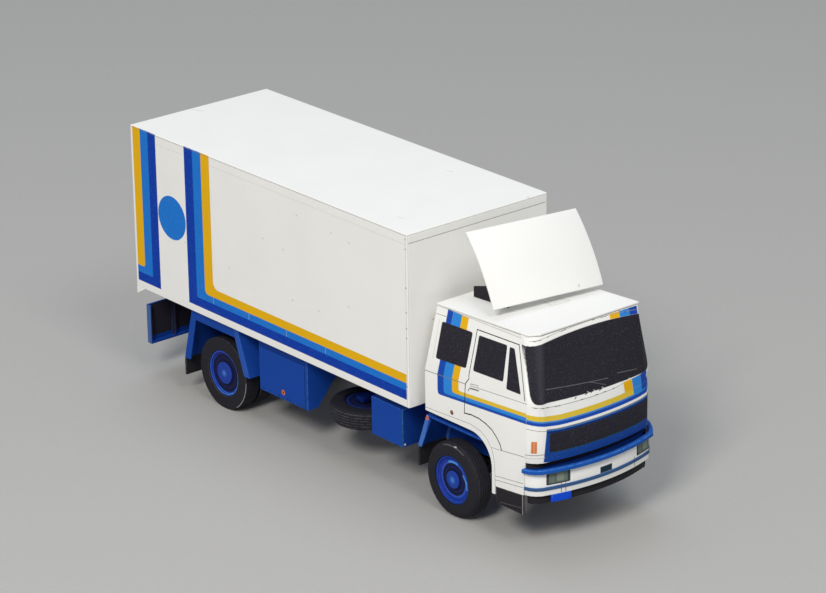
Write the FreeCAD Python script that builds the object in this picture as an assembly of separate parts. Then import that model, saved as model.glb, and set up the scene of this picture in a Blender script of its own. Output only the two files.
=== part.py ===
import FreeCAD, Part
import os
from FreeCAD import Vector

# A folded card model of a cab-over box truck, at its own size of about one to a hundred.
# Millimetres. The front looks to -Y, the right-hand side to -X, and the table is Z = 0.
# The origin is under the middle of the model, on the table.

# Card and fits
card = 0.3
double_card = 2 * card
running_clearance = 0.05
end_play = 0.1
overrun = 1.0

# Overall places along the model
overall_length = 88.3
front_overhang = 19.2
rear_overhang = 18.5
nose_y = -overall_length / 2
tail_y = overall_length / 2
front_axle_y = nose_y + front_overhang
rear_axle_y = tail_y - rear_overhang

# Wheels
tyre_radius = 5.4
tyre_face_x = 11.0
front_tyre_width = 2.8
twin_tyre_width = 2.4
twin_gap = 0.5
front_shoulder = 0.45
rim_radius = 3.45
rim_lip = 0.3
rim_recess = 0.3
rim_face_setback = 0.15
rim_inner_setback = 0.2
hub_radius_front = 1.25
hub_radius_rear = 1.65
hub_cap_thickness = 0.3

# Frame under the box and cab
rail_gap = 7.2
rail_width = 1.2
rail_height = 2.8
rail_over_tyre = 1.2
rail_front_setback = 3.2
bearer_height = 2.1
bearer_setback = 1.5
crossmember_height = 1.8
crossmember_depth = 1.0
crossmember_shares = [0.03, 0.27, 0.42, 0.62, 0.82, 0.96]
rail_inner_x = rail_gap / 2
rail_outer_x = rail_inner_x + rail_width
rail_top_z = 2 * tyre_radius + rail_over_tyre
rail_bottom_z = rail_top_z - rail_height
rail_front_y = nose_y + rail_front_setback

# Axles and springs
pin_radius = 0.5
axle_wheel_gap = 0.3
front_beam_height = 1.2
rear_tube_radius = 0.9
differential_radius = 2.1
differential_width = 2.6
spring_width = 0.9
spring_length = 11.0
spring_thickness = 0.8

# Cab, measured on its outer faces: heights count from its floor, setbacks from the nose
cab_width = 22.6
cab_behind_axle = 4.95
cab_mount_height = 2.2
belt_rear_rise = 5.9
belt_front_rise = 7.4
roof_rear_rise = 14.6
roof_front_rise = 15.5
roof_half_rear = 8.95
roof_half_front = 9.3
seam_foot_setback = 4.4
seam_belt_setback = 3.55
seam_roof_setback = 7.05
skirt_front_drop = 5.95
skirt_rear_drop = 6.5
arch_radius = 4.2
arch_ahead_of_axle = 8.55
arch_lip_width = 0.6
arch_lip_drop = 7.7
cab_half = cab_width / 2
cab_rear_y = front_axle_y + cab_behind_axle
cab_floor_z = rail_top_z + cab_mount_height
belt_rear_z = cab_floor_z + belt_rear_rise
belt_front_z = cab_floor_z + belt_front_rise
roof_fold_rear_z = cab_floor_z + roof_rear_rise
roof_fold_front_z = cab_floor_z + roof_front_rise
seam_foot_y = nose_y + seam_foot_setback
seam_belt_y = nose_y + seam_belt_setback
seam_roof_y = nose_y + seam_roof_setback
skirt_front_z = cab_floor_z - skirt_front_drop
skirt_rear_z = cab_floor_z - skirt_rear_drop
arch_front_y = front_axle_y - arch_ahead_of_axle
arch_lip_foot_z = cab_floor_z - arch_lip_drop

# Cab front sheet: nose and bends at the slot, above the grille, at the belt and at the roof
slot_top_drop = 1.15
grille_top_rise = 3.7
front_nose_setback = 1.1
front_bend_setback = 2.1
front_bend_x = 8.7
belt_nose_setback = 1.72
belt_nose_rise = 6.3
belt_bend_setback = 2.55
belt_bend_rise = 6.6
roof_nose_setback = 4.65
roof_bend_setback = 4.7
roof_bend_x = 7.95
corner_bulge_share = 0.16
roof_bulge_share = 0.23
corner_strip_count = 4
slot_top_z = cab_floor_z - slot_top_drop
grille_top_z = cab_floor_z + grille_top_rise

# Its left corner, folded by hand: flatter and with a lower belt that steps out, sharp at the roof
left_seam_setback = 5.05
left_belt_setback = 4.55
left_belt_rise = 6.05
left_step_height = 0.1
left_seam_roof_setback = 4.85
left_roof_bend_setback = 4.45
left_roof_bend_x = 9.1
left_bulge_share = 0.05
left_seam_y = nose_y + left_seam_setback
left_belt_y = nose_y + left_belt_setback
left_belt_z = cab_floor_z + left_belt_rise
left_seam_roof_y = nose_y + left_seam_roof_setback

# Roof cap
roof_overhang = 0.12
roof_corner_setback = 5.55

# Bumper and what hangs below it
bumper_top_drop = 1.9
bumper_foot_drop = 5.8
bumper_bend_x = 9.05
bumper_bend_setback = 2.0
rail_strip_height = 0.6
rail_strip_proud = 0.55
low_strip_rise = 0.75
low_strip_height = 0.5
low_strip_proud = 0.12
rail_strip_step = 0.2
slot_setback = 0.95
valance_setback = 0.9
valance_drop = 2.3
spoiler_drop = 1.3
spoiler_setback = 0.45
plate_width = 2.8
plate_height = 1.1
plate_x = -7.1
bumper_top_z = cab_floor_z - bumper_top_drop
bumper_foot_z = cab_floor_z - bumper_foot_drop

# Roof deflector: places count from the cab's rear edge and roof
deflector_width = 17.7
deflector_run = 6.6
deflector_height = 8.85
deflector_bulge = 0.55
deflector_foot_ahead = 11.85
deflector_foot_rise = 2.05
deflector_shift = 0.43
deflector_lean = 1.0
deflector_yaw = -7.0
bracket_spacing = 8.0
bracket_rear_ahead = 1.85
bracket_height = 1.5
bracket_slope = 0.28
bracket_foot_ahead = 8.7
deflector_foot_y = cab_rear_y - deflector_foot_ahead
deflector_foot_z = roof_fold_rear_z + deflector_foot_rise

# Box body, which starts behind the cab and ends at the tail
cab_box_gap = 1.95
box_width = 25.0
box_height = 24.95
corner_tab_length = 2.0
corner_tab_drop = 1.2
box_half = box_width / 2
box_front_y = cab_rear_y + cab_box_gap
box_underside_z = rail_top_z + bearer_height
box_top_z = box_underside_z + box_height

# Mudguards over the rear wheels: how far each panel's foot and shoulder lie from the axle
guard_overhang = 0.7
guard_depth = 6.9
guard_lip_width = 1.3
guard_top_gap = 0.5
guard_rear_foot_reach = 8.35
guard_rear_shoulder_reach = 6.25
guard_front_shoulder_reach = 4.75
guard_front_foot_reach = 7.15
guard_rear_drop = 8.0
guard_front_drop = 6.7
guard_slant_share = 0.35
guard_cheek_clearance = 0.9
rear_flap_height = 2.7
guard_face_x = tyre_face_x + guard_overhang
guard_inner_x = guard_face_x - guard_depth
guard_top_z = box_underside_z - guard_top_gap
guard_rear_foot_y = rear_axle_y + guard_rear_foot_reach
guard_rear_foot_z = guard_top_z - guard_rear_drop
guard_front_foot_y = rear_axle_y - guard_front_foot_reach
guard_front_foot_z = guard_top_z - guard_front_drop
guard_cheek_foot_z = tyre_radius + rear_tube_radius + guard_cheek_clearance

# Arch panels behind and over the front wheels
wing_setback = 0.35
wing_depth = 4.95
wing_lip_width = 0.75
wing_top_gap = 0.8
wing_foot_reach = 7.05
wing_shoulder_reach = 5.15
wing_front_reach = 6.05
wing_drop = 5.2
wing_flap_height = 2.9
wing_face_x = cab_half - wing_setback
wing_inner_x = wing_face_x - wing_depth
wing_top_z = cab_floor_z - wing_top_gap
wing_foot_y = front_axle_y + wing_foot_reach
wing_foot_z = wing_top_z - wing_drop

# Lockers and boxes slung under the body: they share the length that the spare wheel leaves
sling_overhang = 0.2
locker_gap = 1.8
locker_height = 8.25
locker_bevel_inset = 1.8
locker_bevel_depth = 3.2
locker_bevel_height = 3.75
small_box_setback = 2.95
small_box_top_gap = 1.5
small_box_height = 5.6
small_box_share = 0.3785
spare_bay = 14.1
sling_face_x = tyre_face_x + sling_overhang
locker_rear_y = guard_front_foot_y - locker_gap
small_box_front_y = box_front_y + small_box_setback
sling_length = locker_rear_y - small_box_front_y - spare_bay
small_box_rear_y = small_box_front_y + small_box_share * sling_length
locker_front_y = small_box_rear_y + spare_bay

# Spare wheel lying flat under the frame
spare_x = -6.0
spare_drop = 3.5
spare_carrier_width = 1.6
spare_y = small_box_rear_y + spare_bay / 2
spare_foot_z = rail_bottom_z - spare_drop

# Rear bumper tray
tray_top_gap = 3.3
tray_height = 6.1
tray_depth = 1.0
tray_rib_x = 6.5
tray_half = tyre_face_x
tray_top_z = box_underside_z - tray_top_gap
tray_foot_z = tray_top_z - tray_height
tray_back_y = tail_y - card

parts = {}


def keep(name, *solids):
    """Store a node made of one or more solids."""
    parts[name] = solids[0] if len(solids) == 1 else Part.makeCompound(list(solids))


def mirrored(shape):
    """The left-hand twin of a right-hand piece."""
    return shape.mirror(Vector(0, 0, 0), Vector(1, 0, 0))


def keep_pair(name, right):
    """Store a right-hand piece and its left-hand twin."""
    keep(name + "_right", right)
    keep(name + "_left", mirrored(right))


def block(x0, x1, y0, y1, z0, z1):
    return Part.makeBox(x1 - x0, y1 - y0, z1 - z0, Vector(x0, y0, z0))


def polygon(points):
    return Part.Face(Part.makePolygon(points + [points[0]]))


def prism_x(points, x0, x1):
    """A (y, z) outline pushed along X."""
    return polygon([Vector(x0, y, z) for y, z in points]).extrude(Vector(x1 - x0, 0, 0))


def prism_y(points, y0, y1):
    """An (x, z) outline pushed along Y."""
    return polygon([Vector(x, y0, z) for x, z in points]).extrude(Vector(0, y1 - y0, 0))


def rod_x(radius, x0, x1, y, z):
    return Part.makeCylinder(radius, x1 - x0, Vector(x0, y, z), Vector(1, 0, 0))


def turned(profile, y, z):
    """An (x, radius) outline turned about an axle along X."""
    face = polygon([Vector(x, 0, r) for x, r in profile])
    solid = face.revolve(Vector(0, 0, 0), Vector(1, 0, 0), 360)
    solid.translate(Vector(0, y, z))
    return solid


# Box body: one sheet folded over the roof and down both sides, with the ends glued inside

def make_box_wrap():
    outer = block(-box_half, box_half, box_front_y, tail_y, box_underside_z, box_top_z)
    inner = block(-box_half + card, box_half - card, box_front_y - overrun, tail_y + overrun,
                  box_underside_z - overrun, box_top_z - card)
    return outer.cut(inner)


def make_box_end(y0, y1):
    return block(-box_half + card, box_half - card, y0, y1, box_underside_z, box_top_z - card)


def make_box_floor():
    return block(-box_half + card, box_half - card, box_front_y + card, tail_y - card,
                 box_underside_z, box_underside_z + card)


def make_corner_tab():
    outline = [(tail_y, box_underside_z), (tail_y, box_underside_z - corner_tab_drop),
               (tail_y - corner_tab_length, box_underside_z)]
    return prism_x(outline, -box_half, -box_half + card)


keep("box_wrap", make_box_wrap())
keep("box_front_panel", make_box_end(box_front_y, box_front_y + card))
keep("box_rear_panel", make_box_end(tail_y - card, tail_y))
keep("box_floor", make_box_floor())
keep_pair("box_corner_tab", make_corner_tab())


# Frame: two rails, cross-members between them, and bearers that carry the box floor

def make_rail():
    return block(-rail_outer_x, -rail_inner_x, rail_front_y, tray_back_y, rail_bottom_z, rail_top_z)


def make_crossmembers():
    run = tray_back_y - rail_front_y - crossmember_depth
    middle_z = (rail_bottom_z + rail_top_z) / 2
    members = []
    for share in crossmember_shares:
        y = rail_front_y + share * run
        members.append(block(-rail_inner_x, rail_inner_x, y, y + crossmember_depth,
                             middle_z - crossmember_height / 2, middle_z + crossmember_height / 2))
    return members


def make_bearer():
    return block(-rail_outer_x, -rail_inner_x, box_front_y + bearer_setback, tail_y - bearer_setback,
                 rail_top_z, box_underside_z)


keep_pair("frame_rail", make_rail())
keep("frame_crossmembers", *make_crossmembers())
keep("box_bearers", make_bearer(), mirrored(make_bearer()))


# Wheels: laminated card discs, tyre, rim and hub cap glued together and free on the axle pin

def front_tyre_profile(outer_x):
    """A card ring whose two edges are rubbed down to a shoulder, as (x, radius)."""
    inner_x = outer_x + front_tyre_width
    side_radius = tyre_radius - front_shoulder
    return [(outer_x, rim_radius), (outer_x, side_radius), (outer_x + front_shoulder, tyre_radius),
            (inner_x - front_shoulder, tyre_radius), (inner_x, side_radius), (inner_x, rim_radius)]


def twin_tyre_profile(outer_x):
    """A plain card ring with sharp edges, as (x, radius)."""
    inner_x = outer_x + twin_tyre_width
    return [(outer_x, rim_radius), (outer_x, tyre_radius), (inner_x, tyre_radius), (inner_x, rim_radius)]


rim_face_x = -tyre_face_x + rim_face_setback
rim_dish_x = rim_face_x + rim_recess


def make_rim(total_width, y):
    back_x = -tyre_face_x + total_width - rim_inner_setback
    bore = pin_radius + running_clearance
    outline = [(back_x, bore), (rim_dish_x, bore), (rim_dish_x, rim_radius - rim_lip),
               (rim_face_x, rim_radius - rim_lip), (rim_face_x, rim_radius), (back_x, rim_radius)]
    return turned(outline, y, tyre_radius)


def make_hub_cap(hub_radius, y):
    return rod_x(hub_radius, rim_dish_x - hub_cap_thickness, rim_dish_x, y, tyre_radius)


front_tyre = turned(front_tyre_profile(-tyre_face_x), front_axle_y, tyre_radius)
twin_total_width = 2 * twin_tyre_width + twin_gap
outer_twin = turned(twin_tyre_profile(-tyre_face_x), rear_axle_y, tyre_radius)
inner_twin = turned(twin_tyre_profile(-tyre_face_x + twin_tyre_width + twin_gap), rear_axle_y, tyre_radius)

keep_pair("front_tyre", front_tyre)
keep_pair("front_rim", make_rim(front_tyre_width, front_axle_y))
keep_pair("front_hub_cap", make_hub_cap(hub_radius_front, front_axle_y))
keep_pair("rear_tyres", Part.makeCompound([outer_twin, inner_twin]))
keep_pair("rear_rim", make_rim(twin_total_width, rear_axle_y))
keep_pair("rear_hub_cap", make_hub_cap(hub_radius_rear, rear_axle_y))


# Axles: a beam in front and a tube with its differential behind, each ending in wheel pins

pin_end_x = -rim_dish_x - end_play


def make_front_axle():
    beam_end_x = tyre_face_x - front_tyre_width - axle_wheel_gap
    half = front_beam_height / 2
    beam = block(-beam_end_x, beam_end_x, front_axle_y - half, front_axle_y + half,
                 tyre_radius - half, tyre_radius + half)
    pin = rod_x(pin_radius, -pin_end_x, pin_end_x, front_axle_y, tyre_radius)
    return beam.fuse(pin).removeSplitter()


def make_rear_axle():
    tube_end_x = tyre_face_x - twin_total_width - axle_wheel_gap
    tube = rod_x(rear_tube_radius, -tube_end_x, tube_end_x, rear_axle_y, tyre_radius)
    bowl_half = differential_width / 2
    bowl = rod_x(differential_radius, -bowl_half, bowl_half, rear_axle_y, tyre_radius)
    pin = rod_x(pin_radius, -pin_end_x, pin_end_x, rear_axle_y, tyre_radius)
    return tube.fuse(bowl).fuse(pin).removeSplitter()


def make_spring(axle_y, seat_z):
    """A leaf pack: its ends meet the rail and its middle sits on the axle."""
    half = spring_length / 2
    rail_x = (rail_inner_x + rail_outer_x) / 2
    x0 = -rail_x - spring_width / 2
    ends = [Vector(x0, axle_y - half, rail_bottom_z), Vector(x0, axle_y + half, rail_bottom_z)]
    upper = Part.Arc(ends[0], Vector(x0, axle_y, seat_z + spring_thickness), ends[1]).toShape()
    low_ends = [point + Vector(0, 0, -spring_thickness / 2) for point in ends]
    lower = Part.Arc(low_ends[0], Vector(x0, axle_y, seat_z), low_ends[1]).toShape()
    sides = [Part.makeLine(ends[0], low_ends[0]), Part.makeLine(ends[1], low_ends[1])]
    wire = Part.Wire(Part.__sortEdges__([upper, lower] + sides))
    return Part.Face(wire).extrude(Vector(spring_width, 0, 0))


front_spring = make_spring(front_axle_y, tyre_radius + front_beam_height / 2)
rear_spring = make_spring(rear_axle_y, tyre_radius + rear_tube_radius)
keep("front_axle", make_front_axle())
keep("rear_axle", make_rear_axle())
keep("front_springs", front_spring, mirrored(front_spring))
keep("rear_springs", rear_spring, mirrored(rear_spring))


# Cab: two folded side sheets, a front sheet that wraps round the corners, roof, back and floor

def lean_section(y, belt_z, roof_z, roof_half):
    """The bent side sheet in section: upright below the belt and leaning in above it."""
    foot_z = arch_lip_foot_z - overrun
    outline = [(-cab_half, foot_z), (-cab_half, belt_z), (-roof_half, roof_z),
               (-roof_half + card, roof_z), (-cab_half + card, belt_z), (-cab_half + card, foot_z)]
    points = [Vector(x, y, z) for x, z in outline]
    return Part.makePolygon(points + [points[0]])


def side_outline(seam):
    """The cab side seen from the side, as a face far outside it, to be pushed across."""
    x = -cab_half - overrun
    lip_front_y = arch_front_y - arch_lip_width
    above_z = roof_fold_front_z + overrun
    arch_corner = Vector(x, arch_front_y, cab_floor_z)
    arch_start = arch_corner + Vector(0, arch_radius, 0)
    arch_end = arch_corner + Vector(0, 0, -arch_radius)
    centre = arch_corner + Vector(0, arch_radius, -arch_radius)
    arch_middle = centre + Vector(0, -1, 1).normalize() * arch_radius
    corners = [(arch_front_y, arch_lip_foot_z), (lip_front_y, arch_lip_foot_z), (lip_front_y, skirt_rear_z)]
    corners += seam
    corners += [(seam[-1][0], above_z), (cab_rear_y, above_z), (cab_rear_y, cab_floor_z)]
    line_points = [arch_end] + [Vector(x, y, z) for y, z in corners] + [arch_start]
    edges = [Part.makeLine(a, b) for a, b in zip(line_points, line_points[1:])]
    edges.append(Part.Arc(arch_start, arch_middle, arch_end).toShape())
    return Part.Face(Part.Wire(Part.__sortEdges__(edges)))


def make_cab_side(seam):
    """The right side sheet. Its front edge follows this seam of (y, z) points: foot, belt, roof."""
    length = cab_rear_y - seam_belt_y
    rise_per_length = (seam[-2][1] - belt_rear_z) / length
    roof_rise_per_length = (roof_fold_front_z - roof_fold_rear_z) / length
    widening = (roof_half_front - roof_half_rear) / length
    front_y = seam_belt_y - overrun
    back_y = cab_rear_y + overrun
    sections = []
    for y in (front_y, back_y):
        ahead = cab_rear_y - y
        sections.append(lean_section(y, belt_rear_z + rise_per_length * ahead,
                                     roof_fold_rear_z + roof_rise_per_length * ahead,
                                     roof_half_rear + widening * ahead))
    sheet = Part.makeLoft(sections, True, True)
    window = side_outline(seam).extrude(Vector(cab_half + overrun, 0, 0))
    return sheet.common(window)


def rolled_corner(a, b, side, bulge_share):
    """The bulged corner from a to b, seen from above."""
    chord = b - a
    outward = Vector(side * abs(chord.y), -abs(chord.x), 0).normalize()
    return Part.Arc(a, (a + b) * 0.5 + outward * bulge_share * chord.Length, b)


def scored(arc, strips):
    """An arc as the straight strips between scored lines."""
    curve = arc.toShape().Curve
    first = curve.parameter(arc.StartPoint)
    last = curve.parameter(arc.EndPoint)
    points = [curve.value(first + (last - first) * i / strips) for i in range(strips + 1)]
    return [Part.makeLine(p, q) for p, q in zip(points, points[1:])]


def front_points(z, half, right, left, nose_y):
    """Right end, right bend, nose, left bend and left end of a bowed front, all at one height.

    A side is given as the y of its end and the x and y of its bend.
    """
    return [Vector(-half, right[0], z), Vector(-right[1], right[2], z), Vector(0, nose_y, z),
            Vector(left[1], left[2], z), Vector(half, left[0], z)]


def bowed_path(points, right_bulge_share):
    """Edges through five front points: a scored corner, the bow and the other corner."""
    edges = scored(rolled_corner(points[0], points[1], -1, right_bulge_share), corner_strip_count)
    edges.append(Part.Arc(points[1], points[2], points[3]).toShape())
    edges += scored(rolled_corner(points[3], points[4], 1, left_bulge_share), corner_strip_count)
    return edges


def bowed_strip(points, depth, right_bulge_share=corner_bulge_share):
    """A closed strip of the given depth behind a bowed path."""
    shifts = [(depth, 0), (depth / 2, depth), (0, depth), (-depth / 2, depth), (-depth, 0)]
    inner_points = [point + Vector(x, y, 0) for point, (x, y) in zip(points, shifts)]
    outer = bowed_path(points, right_bulge_share)
    inner = bowed_path(inner_points, right_bulge_share)
    joins = [Part.makeLine(points[0], inner_points[0]), Part.makeLine(points[4], inner_points[4])]
    return Part.Wire(Part.__sortEdges__(outer + [joins[1]] + inner + [joins[0]]))


def make_bowed_band(z0, z1, half, right, left, nose_y, depth):
    wire = bowed_strip(front_points(z0, half, right, left, nose_y), depth)
    return Part.Face(wire).extrude(Vector(0, 0, z1 - z0))


def seam_y_at(z):
    """Where the right side sheet ends and the front sheet begins, below the belt."""
    share = (z - skirt_front_z) / (belt_front_z - skirt_front_z)
    return seam_foot_y + share * (seam_belt_y - seam_foot_y)


def make_cab_front():
    """The front sheet: its belt fold drops from the right seam to the nose and stays low to the left."""
    front_bend_y = nose_y + front_bend_setback
    low_left = (left_seam_y, front_bend_x, front_bend_y)
    sections = []
    for z in (slot_top_z, grille_top_z):
        low_right = (seam_y_at(z), front_bend_x, front_bend_y)
        points = front_points(z, cab_half, low_right, low_left, nose_y + front_nose_setback)
        sections.append(bowed_strip(points, card))
    belt_bend_y = nose_y + belt_bend_setback
    belt_bend_z = cab_floor_z + belt_bend_rise
    belt = [Vector(-cab_half, seam_belt_y, belt_front_z), Vector(-front_bend_x, belt_bend_y, belt_bend_z),
            Vector(0, nose_y + belt_nose_setback, cab_floor_z + belt_nose_rise),
            Vector(front_bend_x, belt_bend_y, left_belt_z), Vector(cab_half, left_seam_y, left_belt_z)]
    sections.append(bowed_strip(belt, card))
    above_belt = [point + Vector(0, 0, left_step_height) for point in belt]
    above_belt[-1].y = left_belt_y
    sections.append(bowed_strip(above_belt, card))
    right = (seam_roof_y, roof_bend_x, nose_y + roof_bend_setback)
    left = (left_seam_roof_y, left_roof_bend_x, nose_y + left_roof_bend_setback)
    points = front_points(roof_fold_front_z, roof_half_front, right, left, nose_y + roof_nose_setback)
    sections.append(bowed_strip(points, card, roof_bulge_share))
    return Part.makeLoft(sections, True, True)


def roof_fold_at(y):
    """Height of the cab's roof fold, which rises towards the front."""
    slope = (roof_fold_front_z - roof_fold_rear_z) / (cab_rear_y - seam_roof_y)
    return roof_fold_rear_z + slope * (cab_rear_y - y)


def make_cab_roof():
    """A card laid on the folds: cut off at its right front corner, pointed at the left one."""
    half_rear = roof_half_rear + roof_overhang
    half_front = roof_half_front + roof_overhang
    nose = Vector(0, nose_y + roof_nose_setback - roof_overhang, 0)
    right_corner = Vector(-half_front, nose_y + roof_corner_setback, 0)
    right_bend = Vector(-roof_bend_x, nose_y + roof_bend_setback - roof_overhang, 0)
    left_tip = Vector(half_front, nose_y + left_roof_bend_setback - roof_overhang, 0)
    rears = [Vector(-half_rear, cab_rear_y, 0), Vector(half_rear, cab_rear_y, 0)]
    edges = [Part.Arc(right_bend, nose, left_tip).toShape()]
    corners = [left_tip, rears[1], rears[0], right_corner, right_bend]
    edges += [Part.makeLine(a, b) for a, b in zip(corners, corners[1:])]
    column = Part.Face(Part.Wire(Part.__sortEdges__(edges))).extrude(Vector(0, 0, cab_floor_z + box_height))
    folds = [(cab_rear_y, roof_fold_at(cab_rear_y)), (nose.y, roof_fold_at(nose.y))]
    outline = folds + [(y, z + card) for y, z in reversed(folds)]
    return column.common(prism_x(outline, -cab_half, cab_half))


def make_cab_back():
    low = cab_half - card
    high = roof_half_rear - card
    outline = [(-low, cab_floor_z), (low, cab_floor_z), (low, belt_rear_z), (high, roof_fold_rear_z),
               (-high, roof_fold_rear_z), (-low, belt_rear_z)]
    return prism_y(outline, cab_rear_y - card, cab_rear_y)


def make_cab_floor():
    half = cab_half - card
    return block(-half, half, left_seam_y, cab_rear_y - card, cab_floor_z, cab_floor_z + card)


right_seam = [(seam_foot_y, skirt_front_z), (seam_belt_y, belt_front_z), (seam_roof_y, roof_fold_front_z)]
left_seam = [(left_seam_y, skirt_front_z), (left_seam_y, left_belt_z),
             (left_belt_y, left_belt_z + left_step_height), (left_seam_roof_y, roof_fold_front_z)]
keep("cab_side_right", make_cab_side(right_seam))
keep("cab_side_left", mirrored(make_cab_side(left_seam)))
keep("cab_front", make_cab_front())
keep("cab_roof", make_cab_roof())
keep("cab_back", make_cab_back())
keep("cab_floor", make_cab_floor())


# Cab mounts: the floor stands on two card strips across the rails

def make_cab_mounts():
    strips = []
    for y in (cab_rear_y - card - double_card, seam_foot_y + double_card):
        strips.append(block(-rail_outer_x, rail_outer_x, y - double_card, y, rail_top_z, cab_floor_z))
    return strips


keep("cab_mounts", *make_cab_mounts())


# Bumper: a backing strip set back behind the slot, the wrapped face and its proud strips

bumper_end_ys = (seam_y_at(bumper_top_z), left_seam_y)


def make_backing():
    bend_y = nose_y + front_bend_setback + slot_setback
    right, left = [(end_y, front_bend_x - card, bend_y) for end_y in bumper_end_ys]
    return make_bowed_band(bumper_foot_z, slot_top_z, cab_half - card, right, left,
                           nose_y + front_nose_setback + slot_setback, card)


def bumper_band(z0, z1, proud, depth):
    """A band along the bumper's face, this far in front of it, or behind it if negative."""
    bend_y = nose_y + bumper_bend_setback - proud
    right, left = [(end_y, bumper_bend_x + proud / 2, bend_y) for end_y in bumper_end_ys]
    return make_bowed_band(z0, z1, cab_half + proud, right, left, nose_y + rail_strip_proud - proud, depth)


def proud_strip(foot_z, height, proud):
    """A strip glued on the bumper's face."""
    return bumper_band(foot_z, foot_z + height, proud, proud)


def make_valance(front_y):
    """The dark strip under the right skirt, from this front end to the arch."""
    slope = (skirt_front_z - skirt_rear_z) / (arch_front_y - arch_lip_width - front_y)
    rear_y = arch_front_y - valance_setback
    rear_top_z = skirt_front_z - slope * (rear_y - front_y)
    foot_z = skirt_rear_z - valance_drop
    outline = [(front_y, foot_z), (rear_y, foot_z), (rear_y, rear_top_z), (front_y, skirt_front_z)]
    return prism_x(outline, -cab_half, -cab_half + card)


def make_plate_tab():
    """A plain plate that hangs from the foot of the bumper face, on the right of the nose."""
    band = bumper_band(bumper_foot_z - plate_height, bumper_foot_z, 0, card)
    reach = block(plate_x - plate_width / 2, plate_x + plate_width / 2, nose_y - overrun, seam_foot_y,
                  bumper_foot_z - plate_height - overrun, bumper_foot_z)
    return band.common(reach)


keep("bumper_backing", make_backing())
keep("bumper_face", bumper_band(bumper_foot_z, bumper_top_z - rail_strip_step, 0, card))
keep("bumper_rail", proud_strip(bumper_top_z - rail_strip_height, rail_strip_height, rail_strip_proud))
keep("bumper_low_strip", proud_strip(bumper_foot_z + low_strip_rise, low_strip_height, low_strip_proud))
keep("front_spoiler", bumper_band(bumper_foot_z - spoiler_drop, bumper_foot_z, -spoiler_setback, card))
keep("cab_valance_right", make_valance(seam_foot_y))
keep("cab_valance_left", mirrored(make_valance(left_seam_y)))
keep("plate_tab", make_plate_tab())


# Roof deflector: a bowed sheet on two upright brackets, set a little askew by hand

def deflector_slab(depth):
    """The deflector's bowed outline, this deep behind its outer face, or in front of it if negative."""
    foot = Vector(-deflector_width / 2, 0, 0)
    top = foot + Vector(0, deflector_run, deflector_height)
    outward = Vector(0, -deflector_height, deflector_run).normalize()
    middle = (foot + top) * 0.5 + outward * deflector_bulge
    shift = outward * (-depth)
    outer = Part.Arc(foot, middle, top).toShape()
    inner = Part.Arc(foot + shift, middle + shift, top + shift).toShape()
    caps = [Part.makeLine(foot, foot + shift), Part.makeLine(top, top + shift)]
    face = Part.Face(Part.Wire(Part.__sortEdges__([outer, inner] + caps)))
    slab = face.extrude(Vector(deflector_width, 0, 0))
    slab.rotate(Vector(0, 0, 0), Vector(0, 1, 0), deflector_lean)
    slab.rotate(Vector(0, 0, 0), Vector(0, 0, 1), deflector_yaw)
    slab.translate(Vector(deflector_shift, deflector_foot_y, deflector_foot_z))
    return slab


def make_bracket(x):
    """An upright card bracket that stands on the roof and rises to the deflector's back."""
    rear_y = cab_rear_y - bracket_rear_ahead
    foot_y = cab_rear_y - bracket_foot_ahead
    rear_z = roof_fold_at(rear_y) + card
    top_z = rear_z + bracket_height
    outline = [(rear_y, rear_z), (rear_y, top_z),
               (deflector_foot_y, top_z + bracket_slope * (rear_y - deflector_foot_y)),
               (foot_y, roof_fold_at(foot_y) + card)]
    plate = prism_x(outline, x - card / 2, x + card / 2)
    cleared = plate.cut(deflector_slab(-deflector_height)).cut(deflector_slab(card))
    return max(cleared.Solids, key=lambda solid: solid.BoundBox.YMax)


keep("deflector", deflector_slab(card))
keep("deflector_brackets", make_bracket(-bracket_spacing / 2), make_bracket(bracket_spacing / 2))


# Lockers and boxes: closed card boxes slung beside the rails, under the box body

def make_locker():
    foot_z = box_underside_z - locker_height
    bevel_x = -sling_face_x + locker_bevel_inset
    bevel_top_z = foot_z + locker_bevel_height
    top_z = box_underside_z
    outline = [(-sling_face_x, foot_z), (bevel_x, foot_z), (bevel_x + locker_bevel_depth, bevel_top_z),
               (-rail_outer_x, bevel_top_z), (-rail_outer_x, top_z), (-sling_face_x, top_z)]
    return prism_y(outline, locker_front_y, locker_rear_y)


def make_small_box():
    top_z = box_underside_z - small_box_top_gap
    return block(-sling_face_x, -rail_outer_x, small_box_front_y, small_box_rear_y,
                 top_z - small_box_height, top_z)


keep_pair("locker", make_locker())
keep_pair("small_box", make_small_box())


# Rear mudguards: a folded strip over the twin wheels, a lip on its outer edge, a cheek on its inner one

def guard_line(inset):
    """The mudguard's outer line drawn in by an amount, from its rear foot to its front foot."""
    draw_in = inset * (1 - guard_slant_share)
    top_z = guard_top_z - inset
    return [(guard_rear_foot_y - inset, guard_rear_foot_z),
            (rear_axle_y + guard_rear_shoulder_reach - draw_in, top_z),
            (rear_axle_y - guard_front_shoulder_reach + draw_in, top_z),
            (guard_front_foot_y + inset, guard_front_foot_z)]


def make_mudguard():
    strip = prism_x(guard_line(0) + guard_line(card)[::-1], -guard_face_x, -guard_inner_x)
    lip = prism_x(guard_line(0) + guard_line(guard_lip_width)[::-1], -guard_face_x, -guard_face_x + card)
    cheek = prism_x(guard_line(0), -guard_inner_x - card, -guard_inner_x)
    below = block(-guard_face_x, 0, guard_front_foot_y - overrun, guard_rear_foot_y + overrun,
                  0, guard_cheek_foot_z)
    return strip.fuse([lip, cheek.cut(below)]).removeSplitter()


def make_rear_flap():
    y = guard_rear_foot_y - card
    foot_z = guard_rear_foot_z - rear_flap_height
    return block(-guard_face_x, -guard_inner_x, y, y + card, foot_z, guard_rear_foot_z)


keep_pair("rear_mudguard", make_mudguard())
keep_pair("rear_flap", make_rear_flap())


# Arch panels behind and over the front wheels

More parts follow.
